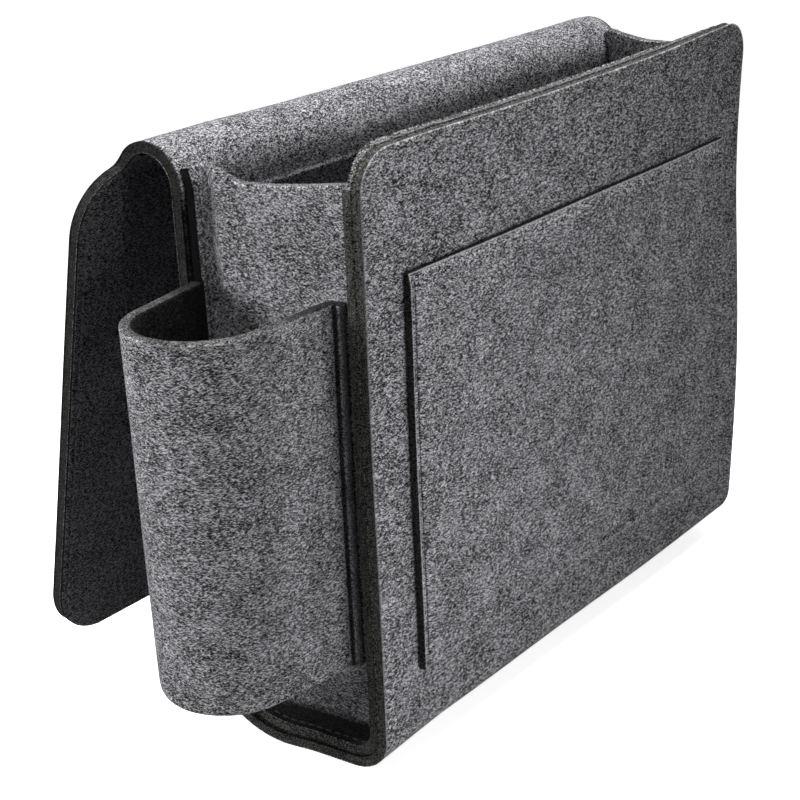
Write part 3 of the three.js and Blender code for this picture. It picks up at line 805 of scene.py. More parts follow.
def wrap_places(line):
    """Distances along the wrap where its mesh has a row: close on folds, corners and the flap's edge."""
    size = sizes()
    front, front_fold, back_fold, wall, hinge, end = line.ends
    down, _ = flap_edge()
    shoulder_end = down[2 * NECK_STEPS - 1]
    return joined(
        corner_places(),
        spread(size.corner, front, FLAT_STEP),
        spread(front, front_fold, FRONT_FOLD_STEP),
        spread(front_fold, back_fold, BASE_STEP),
        spread(back_fold, wall, FLAT_STEP),
        spread(wall, hinge - FACING_REACH, RIDGE_STEP),
        spread(hinge - FACING_REACH, hinge, HINGE_STEP),
        hinge + down,
        spread(hinge + shoulder_end, hinge + size.flap_length - size.flap_corner, FLAT_STEP),
        end - EDGE_PLACES[1:],
    )


def flap_seam_line(line):
    """The flap's seam in cloth coordinates: its edge moved in by the stitch inset, shoulder to shoulder."""
    size = sizes()
    down, across = flap_edge()
    edge = np.stack([np.append(across, 0), np.append(down, size.flap_length)], 1)
    step = unit(np.gradient(edge, axis=0))
    inner = edge + size.stitch_inset * np.stack([-step[:, 1], step[:, 0]], 1)
    inner[-1] = (0, size.flap_length - size.stitch_inset)
    half = resample(inner[inner[:, 1] > FLAP_SEAM_START], SEAM_STEP)
    whole = np.concatenate([half, half[::-1] * (-1, 1)])
    return whole + (0, line.ends[-2])


class CADDY_OT_wrap(bpy.types.Operator):
    """Make the felt wrap: front panel, base, back wall, ridge and flap in one sheet"""

    bl_idname = "caddy.wrap"
    bl_label = "Felt Wrap"

    def execute(self, context):
        size = sizes()
        line = wrap_line()
        fold_end, wall_end = line.ends[2:4]
        places = wrap_places(line)
        half = wrap_half_width(line, places)
        points, cloth, normals = line_sheet(line, half, places)
        thickness = size.felt - seam_dip(cloth, flap_seam_line(line), *SEAM_DIPS["flap"])
        loop = perimeter(*cloth.shape[:2])
        down = cloth.reshape(-1, 2)[loop][:, 1]
        top = down < AT_EDGE
        # Painted shade on the inner face where it passes the gussets, on the top edge's inner side and on the
        # back rim; painted highlight along the face's edges
        past_gusset = np.abs(points[..., 0]) - (size.front_width / 2 - size.gusset_recess)
        inside = np.where(cloth[..., 1] < wall_end, np.interp(past_gusset, *MARGIN_SHADE), 0.0)
        rim = np.where(top, WRAP_TOP_BAND, np.where(down > fold_end, PAINTED_SHADE["wrap_back_rim"], 0.0))
        lip = np.where(down < wall_end, np.where(top, RAW["wrap_top_highlight"], RAW["wrap_edge_highlight"]), 0.0)
        raw = np.where(top, RAW["wrap_top"], RAW["cut"])
        sheet = felt_sheet(points, cloth, thickness, raw, loop, normals,
                           (lip, RAW["wrap_inner_shade_line"]), (0.0, inside, rim))
        sheet[2][sheet[2][:, 1] > fold_end] *= SIDE_GRAIN
        wrap = make_piece("felt_wrap", sheet, shared("mottled_felt", grey_felt))
        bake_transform(wrap)
        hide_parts("body_wrap", "mattress_flap")
        return {"FINISHED"}


# Linings

LINING_SHOULDER = 0.006
SHOULDER_STEP = 0.0004
LINING_DROP_STRETCH = (0.06, 0.06)


class CADDY_OT_linings(bpy.types.Operator):
    """Make the lining behind the front panel and the dark lining of the back wall"""

    bl_idname = "caddy.linings"
    bl_label = "Linings"

    def execute(self, context):
        size = sizes()
        low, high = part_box("front_lining")
        head = size.front_width / 2 - size.lining_inset
        waist = size.front_width / 2 - size.gusset_recess - size.felt - size.gap
        shoulder = size.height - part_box("right_gusset")[1].z + LINING_SHOULDER
        places = joined(corner_places(), [shoulder - SHOULDER_STEP, shoulder + SHOULDER_STEP],
                        spread(size.corner, size.height - low.z, FLAT_STEP))
        half = np.where(places < shoulder, head, waist) - corner_loss(places)
        # Painted shade on the lining's front face and along its top edge, where it meets the wrap
        sheet = panel_sheet(half, size.height, low.z, places, (low.y + high.y) / 2, size.felt, RAW["lining"],
                            (PAINTED_SHADE["deep_shade"], 0.0, LINING_BAND))
        vertices = sheet[0]
        above = vertices[:, 2] > size.height - shoulder
        vertices[:, 2] -= above * size.lining_drop * grown(vertices[:, 0], *LINING_DROP_STRETCH)
        vertices[:, 0] += above * size.lining_shift
        front = make_piece("front_lining_felt", sheet, shared("mottled_felt", grey_felt))
        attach(front, "body")
        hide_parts("front_lining")
        low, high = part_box("back_lining")
        places = joined(EDGE_PLACES, spread(EDGE_PLACES[-1], high.z - low.z, FLAT_STEP))
        # The dark back lining gets a little painted shade on its front face
        sheet = panel_sheet(np.full(places.shape, high.x), high.z, low.z, places, (low.y + high.y) / 2,
                            size.facing, shade=(PAINTED_SHADE["back_lining"], 0.0, 0.0))
        back = make_piece("back_lining_cloth", sheet, shared("dark_felt", dark_facing))
        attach(back, "body")
        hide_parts("back_lining")
        return {"FINISHED"}


# Gussets

GUSSETS = {
    "left": {"side": -1, "front": 0.2292, "dip": 0.2241, "dip_from_front": 0.057, "back": 0.2278},
    "right": {"side": 1, "front": 0.2312, "dip": 0.2309, "dip_from_front": 0.050, "back": 0.2305},
}
RIM_FRONT = 0.1305
RIM_SLANT = 7.2 / 81
PANEL_SLANT = 8 / 81
GUSSET_TOP_POWER = 1.5
GUSSET_TOP_REACH = 1.2
SPINE_FOOT = 0.045
BACK_RIM_FROM = 0.02
LEG_ROWS = 30
GUSSET_FOLD_STEP = 0.002
GUSSET_BASE_STEP = 0.003
FLANGE_SHARES = np.array([0, 0.18, 0.36, 0.46, 0.56, 0.78, 1])
FOLD_COLUMNS = 8
PANEL_COLUMNS = 13
MARGIN_COLUMNS = len(FLANGE_SHARES) + FOLD_COLUMNS
# Painted shade on a gusset's outer face: along the base by height and depth, and in the left one's crease
# beside the bottle pocket, by depth
LEDGE_BY_HEIGHT = ([0.014, 0.018], [0.95, 0.0])
LEDGE_BY_DEPTH = ([-0.036, -0.028], [0.0, 1.0])
CREASE_BY_DEPTH = ([0.0128, 0.0145], [0.85, 0.0])


def gusset_face(y):
    """Distance from the middle plane to a gusset's outer face, which slants outwards to the back."""
    size = sizes()
    return size.front_width / 2 - size.gusset_recess + PANEL_SLANT * (y - size.front_y)


def gusset_line(gusset):
    """The U that a gusset's margin follows: down the front, along the base, up the back, onto the ridge."""
    size = sizes()
    offset = size.felt + size.gap
    front = size.front_y + offset
    back = size.back_y - offset
    ridge = size.ridge_radius + offset
    over = math.asin((gusset["back"] - size.ridge_z) / ridge)
    fold = size.front_fold - offset
    back_radii = (size.back_fold - offset, size.back_fold_rise - offset)
    return FoldLine(
        np.array([[front, gusset["front"]], [front, size.front_fold]]),
        arc((front + fold, size.front_fold), (fold,) * 2, math.pi, 3 * QUARTER),
        arc((back - back_radii[0], size.back_fold_rise), back_radii, 3 * QUARTER, 4 * QUARTER),
        np.array([[back, size.back_fold_rise], [back, size.ridge_z]]),
        arc((size.back_y + size.ridge_radius, size.ridge_z), (ridge,) * 2, math.pi, math.pi - over),
    )


def gusset_top(gusset, y, ends):
    """Top edge of a gusset: its dip, rising to each end with the power 1.5 of the share of the way there."""
    dip_y = sizes().front_y + gusset["dip_from_front"]
    top = gusset["dip"]
    for end_y, end_z in ends:
        share = grown(y, dip_y, end_y - dip_y, GUSSET_TOP_REACH) ** GUSSET_TOP_POWER
        top = top + (end_z - gusset["dip"]) * share
    return top


def gusset_sheet(gusset):
    """A gusset as rows along its U and columns from the raw rim, round the fold and across to its spine.

    The margin lies half a felt inside the U, the fold is a quarter circle, and the panel's points lie on
    straight lines to the spine, raised so that the first and last rows follow the dipping top edge."""
    size = sizes()
    half = size.felt / 2
    radius = size.gusset_fold
    line = gusset_line(gusset)
    front, front_fold, back_fold, _, top = line.ends
    base = joined(spread(front, front_fold, GUSSET_FOLD_STEP),
                  spread(front_fold, back_fold, GUSSET_BASE_STEP))
    rise = np.linspace(0, 1, LEG_ROWS + 1)
    u = np.concatenate([rise * front, base[1:-1], back_fold + rise * (top - back_fold)])
    climb = np.concatenate([rise[::-1], np.zeros(len(base) - 2), rise])
    at = line.at(u)
    inward = -line.normal(u)[:, 1:]

    rim = RIM_FRONT + RIM_SLANT * (at[:, 0] - size.front_y)
    margin = rim - (gusset_face(at[:, 0] + inward[:, 0] * half) - half) - radius
    swing = np.linspace(0, QUARTER, FOLD_COLUMNS + 1)[1:]
    inset = np.concatenate([np.full(len(FLANGE_SHARES), half), half + radius * (1 - np.cos(swing))])
    turned = at[:, None] + inward[:, None] * inset[None, :, None]
    flange_x = rim[:, None] - margin[:, None] * FLANGE_SHARES
    fold_x = gusset_face(turned[:, len(FLANGE_SHARES):, 0]) - half + radius * (1 - np.sin(swing))

    start = turned[:, -1]
    ends = (tuple(start[0]), tuple(start[-1]))
    spine_y = (size.front_y + size.back_y) / 2
    spine_top = gusset_top(gusset, spine_y, ends)
    spine = np.stack([np.full(len(u), spine_y), SPINE_FOOT + (spine_top - SPINE_FOOT) * climb], 1)
    share = np.linspace(0, 1, PANEL_COLUMNS + 1)[1:]
    panel = start[:, None] + (spine - start)[:, None] * share[None, :, None]
    for row, leg in ((0, slice(0, LEG_ROWS + 1)), (-1, slice(-LEG_ROWS - 1, None))):
        wanted = gusset_top(gusset, panel[row, :, 0], ends)
        panel[leg, :, 1] += climb[leg, None] ** 2 * (wanted - panel[row, :, 1])
    x = np.concatenate([flange_x, fold_x, gusset_face(panel[..., 0]) - half], 1)
    points = np.concatenate([gusset["side"] * x[..., None], np.concatenate([turned, panel], 1)], -1)

    steps = np.linalg.norm(np.diff(points[:, :MARGIN_COLUMNS], axis=1), axis=-1)
    across = np.concatenate([np.zeros((len(u), 1)), np.cumsum(steps, 1)], 1)
    cloth = points[..., 1:].copy()
    cloth[:, :MARGIN_COLUMNS] = at[:, None] - inward[:, None] * (across[:, -1:] - across)[..., None]
    return points, cloth


def gusset_normals(points, side):
    """Normals of a gusset: those of its grid on its margin and fold, and the flat panel's own beyond them."""
    normals = np.cross(np.gradient(points, axis=1), np.gradient(points, axis=0))
    panel = unit(np.array([1.0, -PANEL_SLANT * side, 0.0]))
    normals[np.linalg.norm(normals, axis=-1) < VANISHING] = panel
    normals = unit(normals)
    flat = normals[:, MARGIN_COLUMNS + 1:]
    normals[:, MARGIN_COLUMNS + 1:] = np.where(np.sum(flat * panel, -1, keepdims=True) < 0, -panel, panel)
    return normals


def gusset_shade(gusset, points):
    """Painted shade on a gusset's outer face: in its crease along the base, and beside the bottle pocket."""
    size = sizes()
    y, z = points[..., 1], points[..., 2]
    ledge = np.interp(z, *LEDGE_BY_HEIGHT) * np.interp(y, *LEDGE_BY_DEPTH)
    beside = (z > size.bottle_base) & (z < size.bottle_base + size.bottle_height)
    crease = np.interp(y - size.front_y, *CREASE_BY_DEPTH) * beside
    return np.maximum(ledge, crease if gusset["side"] < 0 else 0.0)


class CADDY_OT_gussets(bpy.types.Operator):
    """Make the two side gussets with their margins turned outwards"""

    bl_idname = "caddy.gussets"
    bl_label = "Gussets"

    def execute(self, context):
        size = sizes()
        for name, gusset in GUSSETS.items():
            points, cloth = gusset_sheet(gusset)
            index = np.arange(points[..., 0].size).reshape(points.shape[:2])
            loop = np.concatenate([index[0], index[-1, -2::-1], index[-2:0:-1, 0]])
            normals = gusset_normals(points, gusset["side"])
            rim = np.isin(loop, index[:, 0])
            back = rim & (points.reshape(-1, 3)[loop][:, 1] > BACK_RIM_FROM)
            # Painted shade: the outer face's crease and ledge, the whole inner face, and the back rim's edge
            outer, inner = gusset_shade(gusset, points), PAINTED_SHADE["gusset_inner"]
            faces = (outer, inner) if normals[0, -1, 0] * gusset["side"] > 0 else (inner, outer)
            raw = np.where(rim, RAW["cut"], RAW["gusset_top"])
            lip = np.where(rim, RAW["gusset_lip"], 0.0)
            band = np.where(back, PAINTED_SHADE["gusset_back_rim"], 0.0)
            sheet = felt_sheet(points, cloth, size.felt, raw, loop, normals, (lip, lip), (*faces, band))
            sheet[2][:] *= SIDE_GRAIN
            piece = make_piece(f"{name}_gusset_felt", sheet, shared("mottled_felt", grey_felt), merge=True)
            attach(piece, "body")
            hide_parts(f"{name}_gusset")
        return {"FINISHED"}


# Front pocket

POCKET_SEAM_TOP_SHARE = 0.6
MOUTH_DEPTH = 0.05
MOUTH_PRESS = ([0, 0.005], [0.68, 1])


def pocket_size():
    """Half width and height of the front pocket."""
    low, high = POCKET_BOX
    return (high.x - low.x) / 2, high.z - low.z


def pocket_seam():
    """The front pocket's seam: down one side, along the bottom and up the other, in cloth coordinates."""
    inset = sizes().stitch_inset
    half, tall = pocket_size()
    side, foot, top = half - inset, tall - inset, inset * POCKET_SEAM_TOP_SHARE
    return resample(np.array([[-side, top], [-side, foot], [side, foot], [side, top]]), SEAM_STEP)


def pocket_place(cloth, offset=0.0):
    """A place on the front pocket's middle: flat on the panel, with its mouth slightly open at the middle.

    The gape falls with (1 - (x / half width)^2) to the sides and (1 - depth / mouth depth)^2 downwards."""
    size = sizes()
    half, _ = pocket_size()
    sideways = np.clip(1 - (cloth[..., 0] / half) ** 2, 0, 1)
    gape = size.pocket_gape * sideways * np.clip(1 - cloth[..., 1] / MOUTH_DEPTH, 0, 1) ** 2
    y = size.front_y - size.gap - size.pocket_felt / 2 - gape - offset
    return np.stack([cloth[..., 0], y, POCKET_BOX[1].z - cloth[..., 1]], -1)


class CADDY_OT_front_pocket(bpy.types.Operator):
    """Make the flat pocket on the front panel"""

    bl_idname = "caddy.front_pocket"
    bl_label = "Front Pocket"

    def execute(self, context):
        size = sizes()
        half, tall = pocket_size()
        even = spread(EDGE_PLACES[-1], tall - EDGE_PLACES[-1], FLAT_STEP)
        places = joined(EDGE_PLACES, even, tall - EDGE_PLACES)
        cloth = np.stack(np.meshgrid(half * across_places(), places), -1)
        thickness = size.pocket_felt * np.interp(cloth[..., 1], *MOUTH_PRESS)
        thickness = thickness - seam_dip(cloth, pocket_seam(), *SEAM_DIPS["front_pocket"])
        points = pocket_place(cloth)
        points[..., 1] += (size.pocket_felt - thickness) / 2
        loop = perimeter(*cloth.shape[:2])
        top = cloth.reshape(-1, 2)[loop][:, 1] < AT_EDGE
        # Painted shade: the mouth's edge dark as a slit, the other edges and the inner face darker; painted
        # highlight along the outer face's edges
        rim = np.where(top, PAINTED_SHADE["deep_shade"], PAINTED_SHADE["pocket_rim"])
        sheet = felt_sheet(points, cloth, thickness, RAW["cut"], loop, None,
                           (RAW["pocket_inner_shade_line"], RAW["pocket_edge_highlight"]), (PAINTED_SHADE["deep_shade"], 0.0, rim))
        pocket = make_piece("front_pocket_felt", sheet, shared("mottled_felt", grey_felt))
        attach(pocket, "body")
        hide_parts("front_pocket")
        return {"FINISHED"}


# Bottle pocket, with reach from the gusset and depth from the front face

BOTTLE_PLANS = {
    "base": {"reach": 0.033, "middle": 0.0477, "radius": 0.026},
    "rim": {"reach": 0.0371, "middle": 0.0443, "radius": 0.0267},
}
BOTTLE_BEND = 0.0008
BOTTLE_BACK = np.array([0.00457, 0.0765])
BOTTLE_COLUMNS = {"margin": 9, "bend": 8, "front": 14, "round": 40, "back": 12}
BOTTLE_SEAM_SHARE = 0.75
BOTTLE_SEAM_POINTS = 2000
HEM_HEIGHT = 0.007
HEM_STEP = 0.0008
BOTTLE_RIM_ROOM = 0.003
BOTTLE_RIM_ROWS = 5
TUCK_HEIGHT = 0.004
TUCK_DEPTH = 0.0012
FREE_STRETCH = (0.008, 0.012)
# Painted shade of the bottle pocket: its inner face by reach, its front bend by column, a band on its front
# side, and its rim by reach
INNER_BY_REACH = ([0.01, 0.055], [0.97, 0.8])
BEND_BY_COLUMN = ([3, 6, 12, 15], [0.0, 0.85, 0.9, 0.0])
SHADE_BAND_REACH = 0.040
SHADE_BAND_WIDTH = 0.012
SHADE_BAND_COLUMNS = 50
RIM_BY_REACH = ([0.012, 0.045], [0.85, 0.05])
FAR_SIDE_SHARE = 0.6
BOTTLE_BASE_LEVEL = 0.0035
BOTTLE_BASE_LIFT = 0.0012
BOTTLE_BASE_STEP = 0.004
BOTTLE_BASE_RINGS = np.array([1, 0.97, 0.9, 0.75, 0.5, 0.25, 0.0])[:, None, None]


def bottle_outline(plan):
    """Middle line of the bottle pocket in plan, as (reach from the gusset, distance from the front face).

    The margin lies on the gusset, a small bend turns it outwards, the front side runs tangent to that bend
    and to the round end, and the back side runs from the round end to the gusset's rim."""
    size = sizes()
    half = size.felt / 2
    count = BOTTLE_COLUMNS
    centre = np.array([plan["reach"], plan["middle"]])
    outer = plan["radius"]
    bend = np.array([size.gap + size.felt + BOTTLE_BEND, size.bottle_front - BOTTLE_BEND])
    across = centre - bend
    heading = math.atan2(across[1], across[0]) - math.asin((outer + BOTTLE_BEND) / np.linalg.norm(across))
    away = BOTTLE_BACK - centre
    leaving = math.atan2(away[1], away[0]) - math.acos(outer / np.linalg.norm(away))
    edge = np.array([size.gap + half, size.bottle_front - size.bottle_margin])
    bent = arc(bend, (BOTTLE_BEND + half,) * 2, math.pi, heading + QUARTER, count["bend"])
    round_end = arc(centre, (outer - half,) * 2, heading - QUARTER, leaving, count["round"])
    last = round_end[-1]
    end = np.array([BOTTLE_BACK[0], last[1] + (BOTTLE_BACK[0] - last[0]) * math.tan(leaving + QUARTER)])
    return np.concatenate([
        np.linspace(edge, bent[0], count["margin"] + 1)[:-1],
        bent,
        np.linspace(bent[-1], round_end[0], count["front"] + 1)[1:-1],
        round_end,
        np.linspace(last, end, count["back"] + 1)[1:],
    ])


def bottle_grid(heights, inside=0.0):
    """The bottle pocket's middle sheet at heights above its lower edge.

    Its base and rim outlines are blended by height, and drawn in along a quarter circle at the lower edge."""
    size = sizes()
    base = bottle_outline(BOTTLE_PLANS["base"])
    rim = bottle_outline(BOTTLE_PLANS["rim"])
    plan = base + (rim - base) * (heights / size.bottle_height)[:, None, None]
    step = unit(np.gradient(plan, axis=1))
    outward = np.stack([step[..., 1], -step[..., 0]], -1)
    tuck = np.clip(1 - heights / TUCK_HEIGHT, 0, 1)
    drawn = TUCK_DEPTH * (1 - np.sqrt(1 - tuck**2)) + inside
    plan = plan - outward * grown(plan[..., :1], *FREE_STRETCH) * drawn[:, None, None]
    y = size.front_y + plan[..., 1]
    x = -gusset_face(y) - plan[..., 0]
    z = np.repeat(size.bottle_base + heights[:, None], plan.shape[1], 1)
    cloth = np.stack([np.repeat(travelled(rim)[None], len(heights), 0), z], -1)
    return np.stack([x, y, z], -1), cloth


def bottle_looks(shape, loop):
    """Rawness of the bottle pocket's edge, and the painted shade on its inner face, its outer face and its
    edge.

    The inner face has painted shadow, darker near the gusset. The outer face has painted shade in its front
    bend and a soft band of painted shade on its front side. The rim is painted darker towards the gusset, and
    inwards at the far side, as shade. Rawness below 0 paints a highlight along the margin's edge and the
    faces' edges."""
    rows, columns = shape
    reach = bottle_outline(BOTTLE_PLANS["rim"])[:, 0]
    column = np.arange(columns)
    shade_band = PAINTED_SHADE["bottle_shade_band"] * np.exp(-(((reach - SHADE_BAND_REACH) / SHADE_BAND_WIDTH) ** 2))
    shade_band = np.where(column < SHADE_BAND_COLUMNS, shade_band, 0.0)
    outer = np.maximum(np.interp(column, *BEND_BY_COLUMN), shade_band)
    place = loop % columns
    top = loop >= (rows - 1) * columns
    front = place == 0
    rim = np.interp(reach[place], *RIM_BY_REACH)
    rim = np.where(place > columns * FAR_SIDE_SHARE, np.maximum(rim, BOTTLE_BAND), rim)
    band = np.where(top, rim, np.where(front, BOTTLE_BAND, 0.0))
    raw = np.where(top, RAW["bottle_top"], np.where(front, RAW["bottle_margin"], RAW["cut"]))
    return raw, (np.interp(reach, *INNER_BY_REACH), outer, band)


def bottle_base_sheet():
    """A closed flat sheet inside the bottle pocket: rings that shrink to a point, and a square raw edge."""
    size = sizes()
    grid, _ = bottle_grid(np.array([BOTTLE_BASE_LEVEL]), inside=size.felt / 2 + size.gap)
    ring = grid[0, BOTTLE_COLUMNS["margin"] + BOTTLE_COLUMNS["bend"]:]
    ring = resample(np.concatenate([ring, ring[:1]]), BOTTLE_BASE_STEP)
    middle = ring.mean(0)
    disc = middle + (ring - middle) * BOTTLE_BASE_RINGS
    disc[..., 2] = size.bottle_base + BOTTLE_BASE_LIFT + size.felt / 2
    closed = np.concatenate([disc, disc[:, :1]], 1)
    up = np.array([0, 0, size.felt / 2])
    vertices = np.concatenate([(closed + up).reshape(-1, 3), (closed - up).reshape(-1, 3)])
    count = len(vertices) // 2
    index = np.arange(count).reshape(closed.shape[:2])
    edge = np.stack([index[0] + count, index[0]])
    # The ring runs clockwise seen from above, so its faces are turned over
    faces = np.concatenate([quads(index), (quads(index) + count)[:, ::-1], quads(edge)])[:, ::-1]
    plain = np.zeros(len(vertices))
    return settle(vertices), faces, vertices, plain, plain


class CADDY_OT_bottle_pocket(bpy.types.Operator):
    """Make the round bottle pocket on the left gusset, with its base"""

    bl_idname = "caddy.bottle_pocket"
    bl_label = "Bottle Pocket"

    def execute(self, context):
        size = sizes()
        heights = joined(spread(0, HEM_HEIGHT, HEM_STEP),
                         spread(HEM_HEIGHT, size.bottle_height - BOTTLE_RIM_ROOM, FLAT_STEP),
                         size.bottle_height - EDGE_PLACES[:BOTTLE_RIM_ROWS])
        points, cloth = bottle_grid(heights)
        foot, head = size.bottle_base, size.bottle_base + size.bottle_height
        across = size.bottle_margin * BOTTLE_SEAM_SHARE
        seam = np.linspace((across, foot), (across, head), BOTTLE_SEAM_POINTS)
        thickness = size.felt - seam_dip(cloth, seam, *SEAM_DIPS["bottle_pocket"])
        loop = perimeter(*cloth.shape[:2])
        raw, shade = bottle_looks(cloth.shape[:2], loop)
        sheet = felt_sheet(points, cloth, thickness, raw, loop, None, (RAW["bottle_edge_highlight"],) * 2, shade)
        sheet[2][:] *= SIDE_GRAIN
        felt = shared("mottled_felt", grey_felt)
        pocket = make_piece("bottle_pocket_felt", sheet, felt)
        base = make_piece("bottle_pocket_base_felt", bottle_base_sheet(), felt, merge=True)
        for piece, node in ((pocket, "bottle_pocket"), (base, "bottle_pocket_base")):
            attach(piece, "body")
            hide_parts(node)
        return {"FINISHED"}


# Flap facing

FACING_GAP_SHARE = 0.4
# Painted shade of the facing by drop below the hinge
FACING_BY_DROP = ([0, 0.11], [0.4, 0])


class CADDY_OT_flap_facing(bpy.types.Operator):
    """Make the dark facing on the inner side of the mattress flap"""

    bl_idname = "caddy.flap_facing"
    bl_label = "Flap Facing"

    def execute(self, context):
        size = sizes()
        line = wrap_line()
        hinge = line.ends[-2]
        places = wrap_places(line)
        places = places[places > hinge - FACING_REACH]
        half = wrap_half_width(line, places)
        points, cloth, normals = line_sheet(line, half, places)
        dip = seam_dip(cloth, flap_seam_line(line), *SEAM_DIPS["flap_facing"])
        off = size.felt / 2 + size.gap * FACING_GAP_SHARE + size.facing / 2 - dip
        # Painted shade on the facing's upper part, in the shadow of the arch, and on its other faces
        upper = np.interp(cloth[..., 1] - hinge, *FACING_BY_DROP)
        sheet = felt_sheet(points + normals * off[..., None], cloth, size.facing, 0.0, None, normals,
                           shade=(upper, PAINTED_SHADE["deep_shade"], PAINTED_SHADE["deep_shade"]))
        facing = make_piece("flap_facing_cloth", sheet, shared("dark_felt", dark_facing))
        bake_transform(facing)
        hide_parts("flap_facing")
        return {"FINISHED"}


# Seams

STITCH_RINGS = np.array([-1, -0.72, 0, 0.72, 1])[:, None]
STITCH_SIDES = 6
STITCH_REACH = 0.0006
STITCH_DIP_SHARE = 0.5
GUSSET_SEAM_END = 0.005
BOTTLE_SEAM_END = 0.003
THREAD_LIFT = 0.0001

# How far a seam lies below the face, where its thread pulls the felt in
SEAM_SINK = {"front_pocket": 0.0011, "bottle_pocket": 0.0008, "flap": 0.0005}


def stitches(path, normals):
    """One stitch a pitch along a path of close points: an ellipsoid whose ends dip into the felt.

    A ring at share r of the half length has the thread's radius times sqrt(1 - r^4), and lies lower by
    0.5 r^2 of the thread's thickness."""
    size = sizes()
    lengths = travelled(path)
    count = int(lengths[-1] / size.stitch_pitch)
    middle = (np.arange(count) + 0.5) * lengths[-1] / count
    centre = along_path(middle, lengths, path)
    ahead, behind = (along_path(middle + reach, lengths, path) for reach in (STITCH_REACH, -STITCH_REACH))
    tangent = unit(ahead - behind)
    normal = unit(along_path(middle, lengths, normals))
    side = unit(np.cross(normal, tangent))
    radius = size.thread / 2 * np.sqrt(np.maximum(1 - STITCH_RINGS**4, 0))
    angle = np.arange(STITCH_SIDES) * 2 * math.pi / STITCH_SIDES
    along = np.repeat(STITCH_RINGS * size.stitch_length / 2, STITCH_SIDES, 1)
    wide = radius * np.cos(angle)
    high = radius * np.sin(angle) - STITCH_DIP_SHARE * size.thread * STITCH_RINGS**2
    vertices = sum(share[..., None] * axis[:, None, None]
                   for share, axis in ((along, tangent), (wide, side), (high, normal)))
    vertices = vertices + centre[:, None, None]
    ring = np.arange(along.size).reshape(along.shape)
    ring = np.concatenate([ring, ring[:, :1]], 1)
    faces = (quads(ring)[None] + along.size * np.arange(count)[:, None, None]).reshape(-1, 4)
    travel = along + middle[:, None, None]
    cloth = np.stack([travel, np.broadcast_to(wide, travel.shape), np.broadcast_to(high, travel.shape)], -1)
    plain = np.zeros(travel.size)
    return settle(vertices.reshape(-1, 3)), faces, cloth.reshape(-1, 3), plain, plain


def joined_meshes(*parts):
    """Several meshes as one, with their faces renumbered."""
    start = np.cumsum([0] + [len(part[0]) for part in parts[:-1]])
    faces = np.concatenate([part[1] + first for part, first in zip(parts, start)])
    vertices, cloth, raw, shade = (np.concatenate([part[k] for part in parts]) for k in (0, 2, 3, 4))
    return vertices, faces, cloth, raw, shade


def gusset_stitches(gusset):
    """Stitches along a gusset's margin, on its inner face and a stitch inset from the rim."""
    size = sizes()
    line = gusset_line(gusset)
    u = np.arange(GUSSET_SEAM_END, line.along[-1] - GUSSET_SEAM_END, SEAM_STEP)
    at = line.at(u)
    inward = -line.normal(u)
    x = gusset["side"] * (RIM_FRONT - size.stitch_inset + RIM_SLANT * (at[:, 0] - size.front_y))
    return stitches(np.column_stack([x, at]) + inward * (size.felt + THREAD_LIFT), inward)


def front_pocket_stitches():
    """Stitches along the front pocket's sides and bottom."""
    seam = pocket_seam()
    front = np.repeat([[0.0, -1.0, 0.0]], len(seam), 0)
    return stitches(pocket_place(seam, sizes().pocket_felt / 2 - SEAM_SINK["front_pocket"]), front)


def bottle_pocket_stitches():
    """Stitches down the bottle pocket's margin."""
    size = sizes()
    heights = np.arange(BOTTLE_SEAM_END, size.bottle_height - BOTTLE_SEAM_END, SEAM_STEP)
    grid, _ = bottle_grid(heights)
    margin = grid[:, int(BOTTLE_COLUMNS["margin"] * BOTTLE_SEAM_SHARE)]
    out = np.repeat([[-1.0, 0.0, 0.0]], len(heights), 0)
    return stitches(margin + out * (size.felt / 2 - SEAM_SINK["bottle_pocket"]), out)


def flap_stitches():
    """Stitches round the flap, on its facing and on its outer face."""
    size = sizes()
    line = wrap_line()
    seam = flap_seam_line(line)
    path = np.column_stack([seam[:, 0], line.at(seam[:, 1])])
    inner = line.normal(seam[:, 1])
    return joined_meshes(
        stitches(path + inner * (size.felt / 2 + size.facing + THREAD_LIFT), inner),
        stitches(path - inner * (size.felt / 2 - SEAM_SINK["flap"]), -inner),
    )


class CADDY_OT_seams(bpy.types.Operator):
    """Make the stitches of every seam"""

    bl_idname = "caddy.seams"
    bl_label = "Seams"

    def execute(self, context):
        thread = shared("twisted_thread", black_thread)
        made = {f"{name}_gusset": gusset_stitches(gusset) for name, gusset in GUSSETS.items()}
        made["front_pocket"] = front_pocket_stitches()
        made["bottle_pocket"] = bottle_pocket_stitches()
        made["flap"] = flap_stitches()
        for name, mesh in made.items():
            piece = make_piece(f"{name}_stitches", mesh, thread, merge=True)
            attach(piece, "flap" if name == "flap" else "body")
            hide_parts(f"{name}_seam")
        return {"FINISHED"}


# Stage

CAMERA_AT = (-0.5566, -0.4059, 0.3854)
CAMERA_TURN = 50.391
CAMERA_TILT = 22.330
CAMERA_ROLL = -2.428
CAMERA_LENS = 78.92
CAMERA_SENSOR = 36
CAMERA_NEAR = 0.01
WHITE = (1, 1, 1, 1)
SKY_LIGHT = 0.02
FLOOR_HALF = 4
FLOOR_POINTS = 9
FLOOR_LEVEL = -0.0005
FLOOR_GRAIN = 30
FLOOR_MOTTLE = 0.99
FLOOR_UNSEEN = 0.4
FLOOR_GLOW = (0.35, 1.0, 0.84, 1.0)

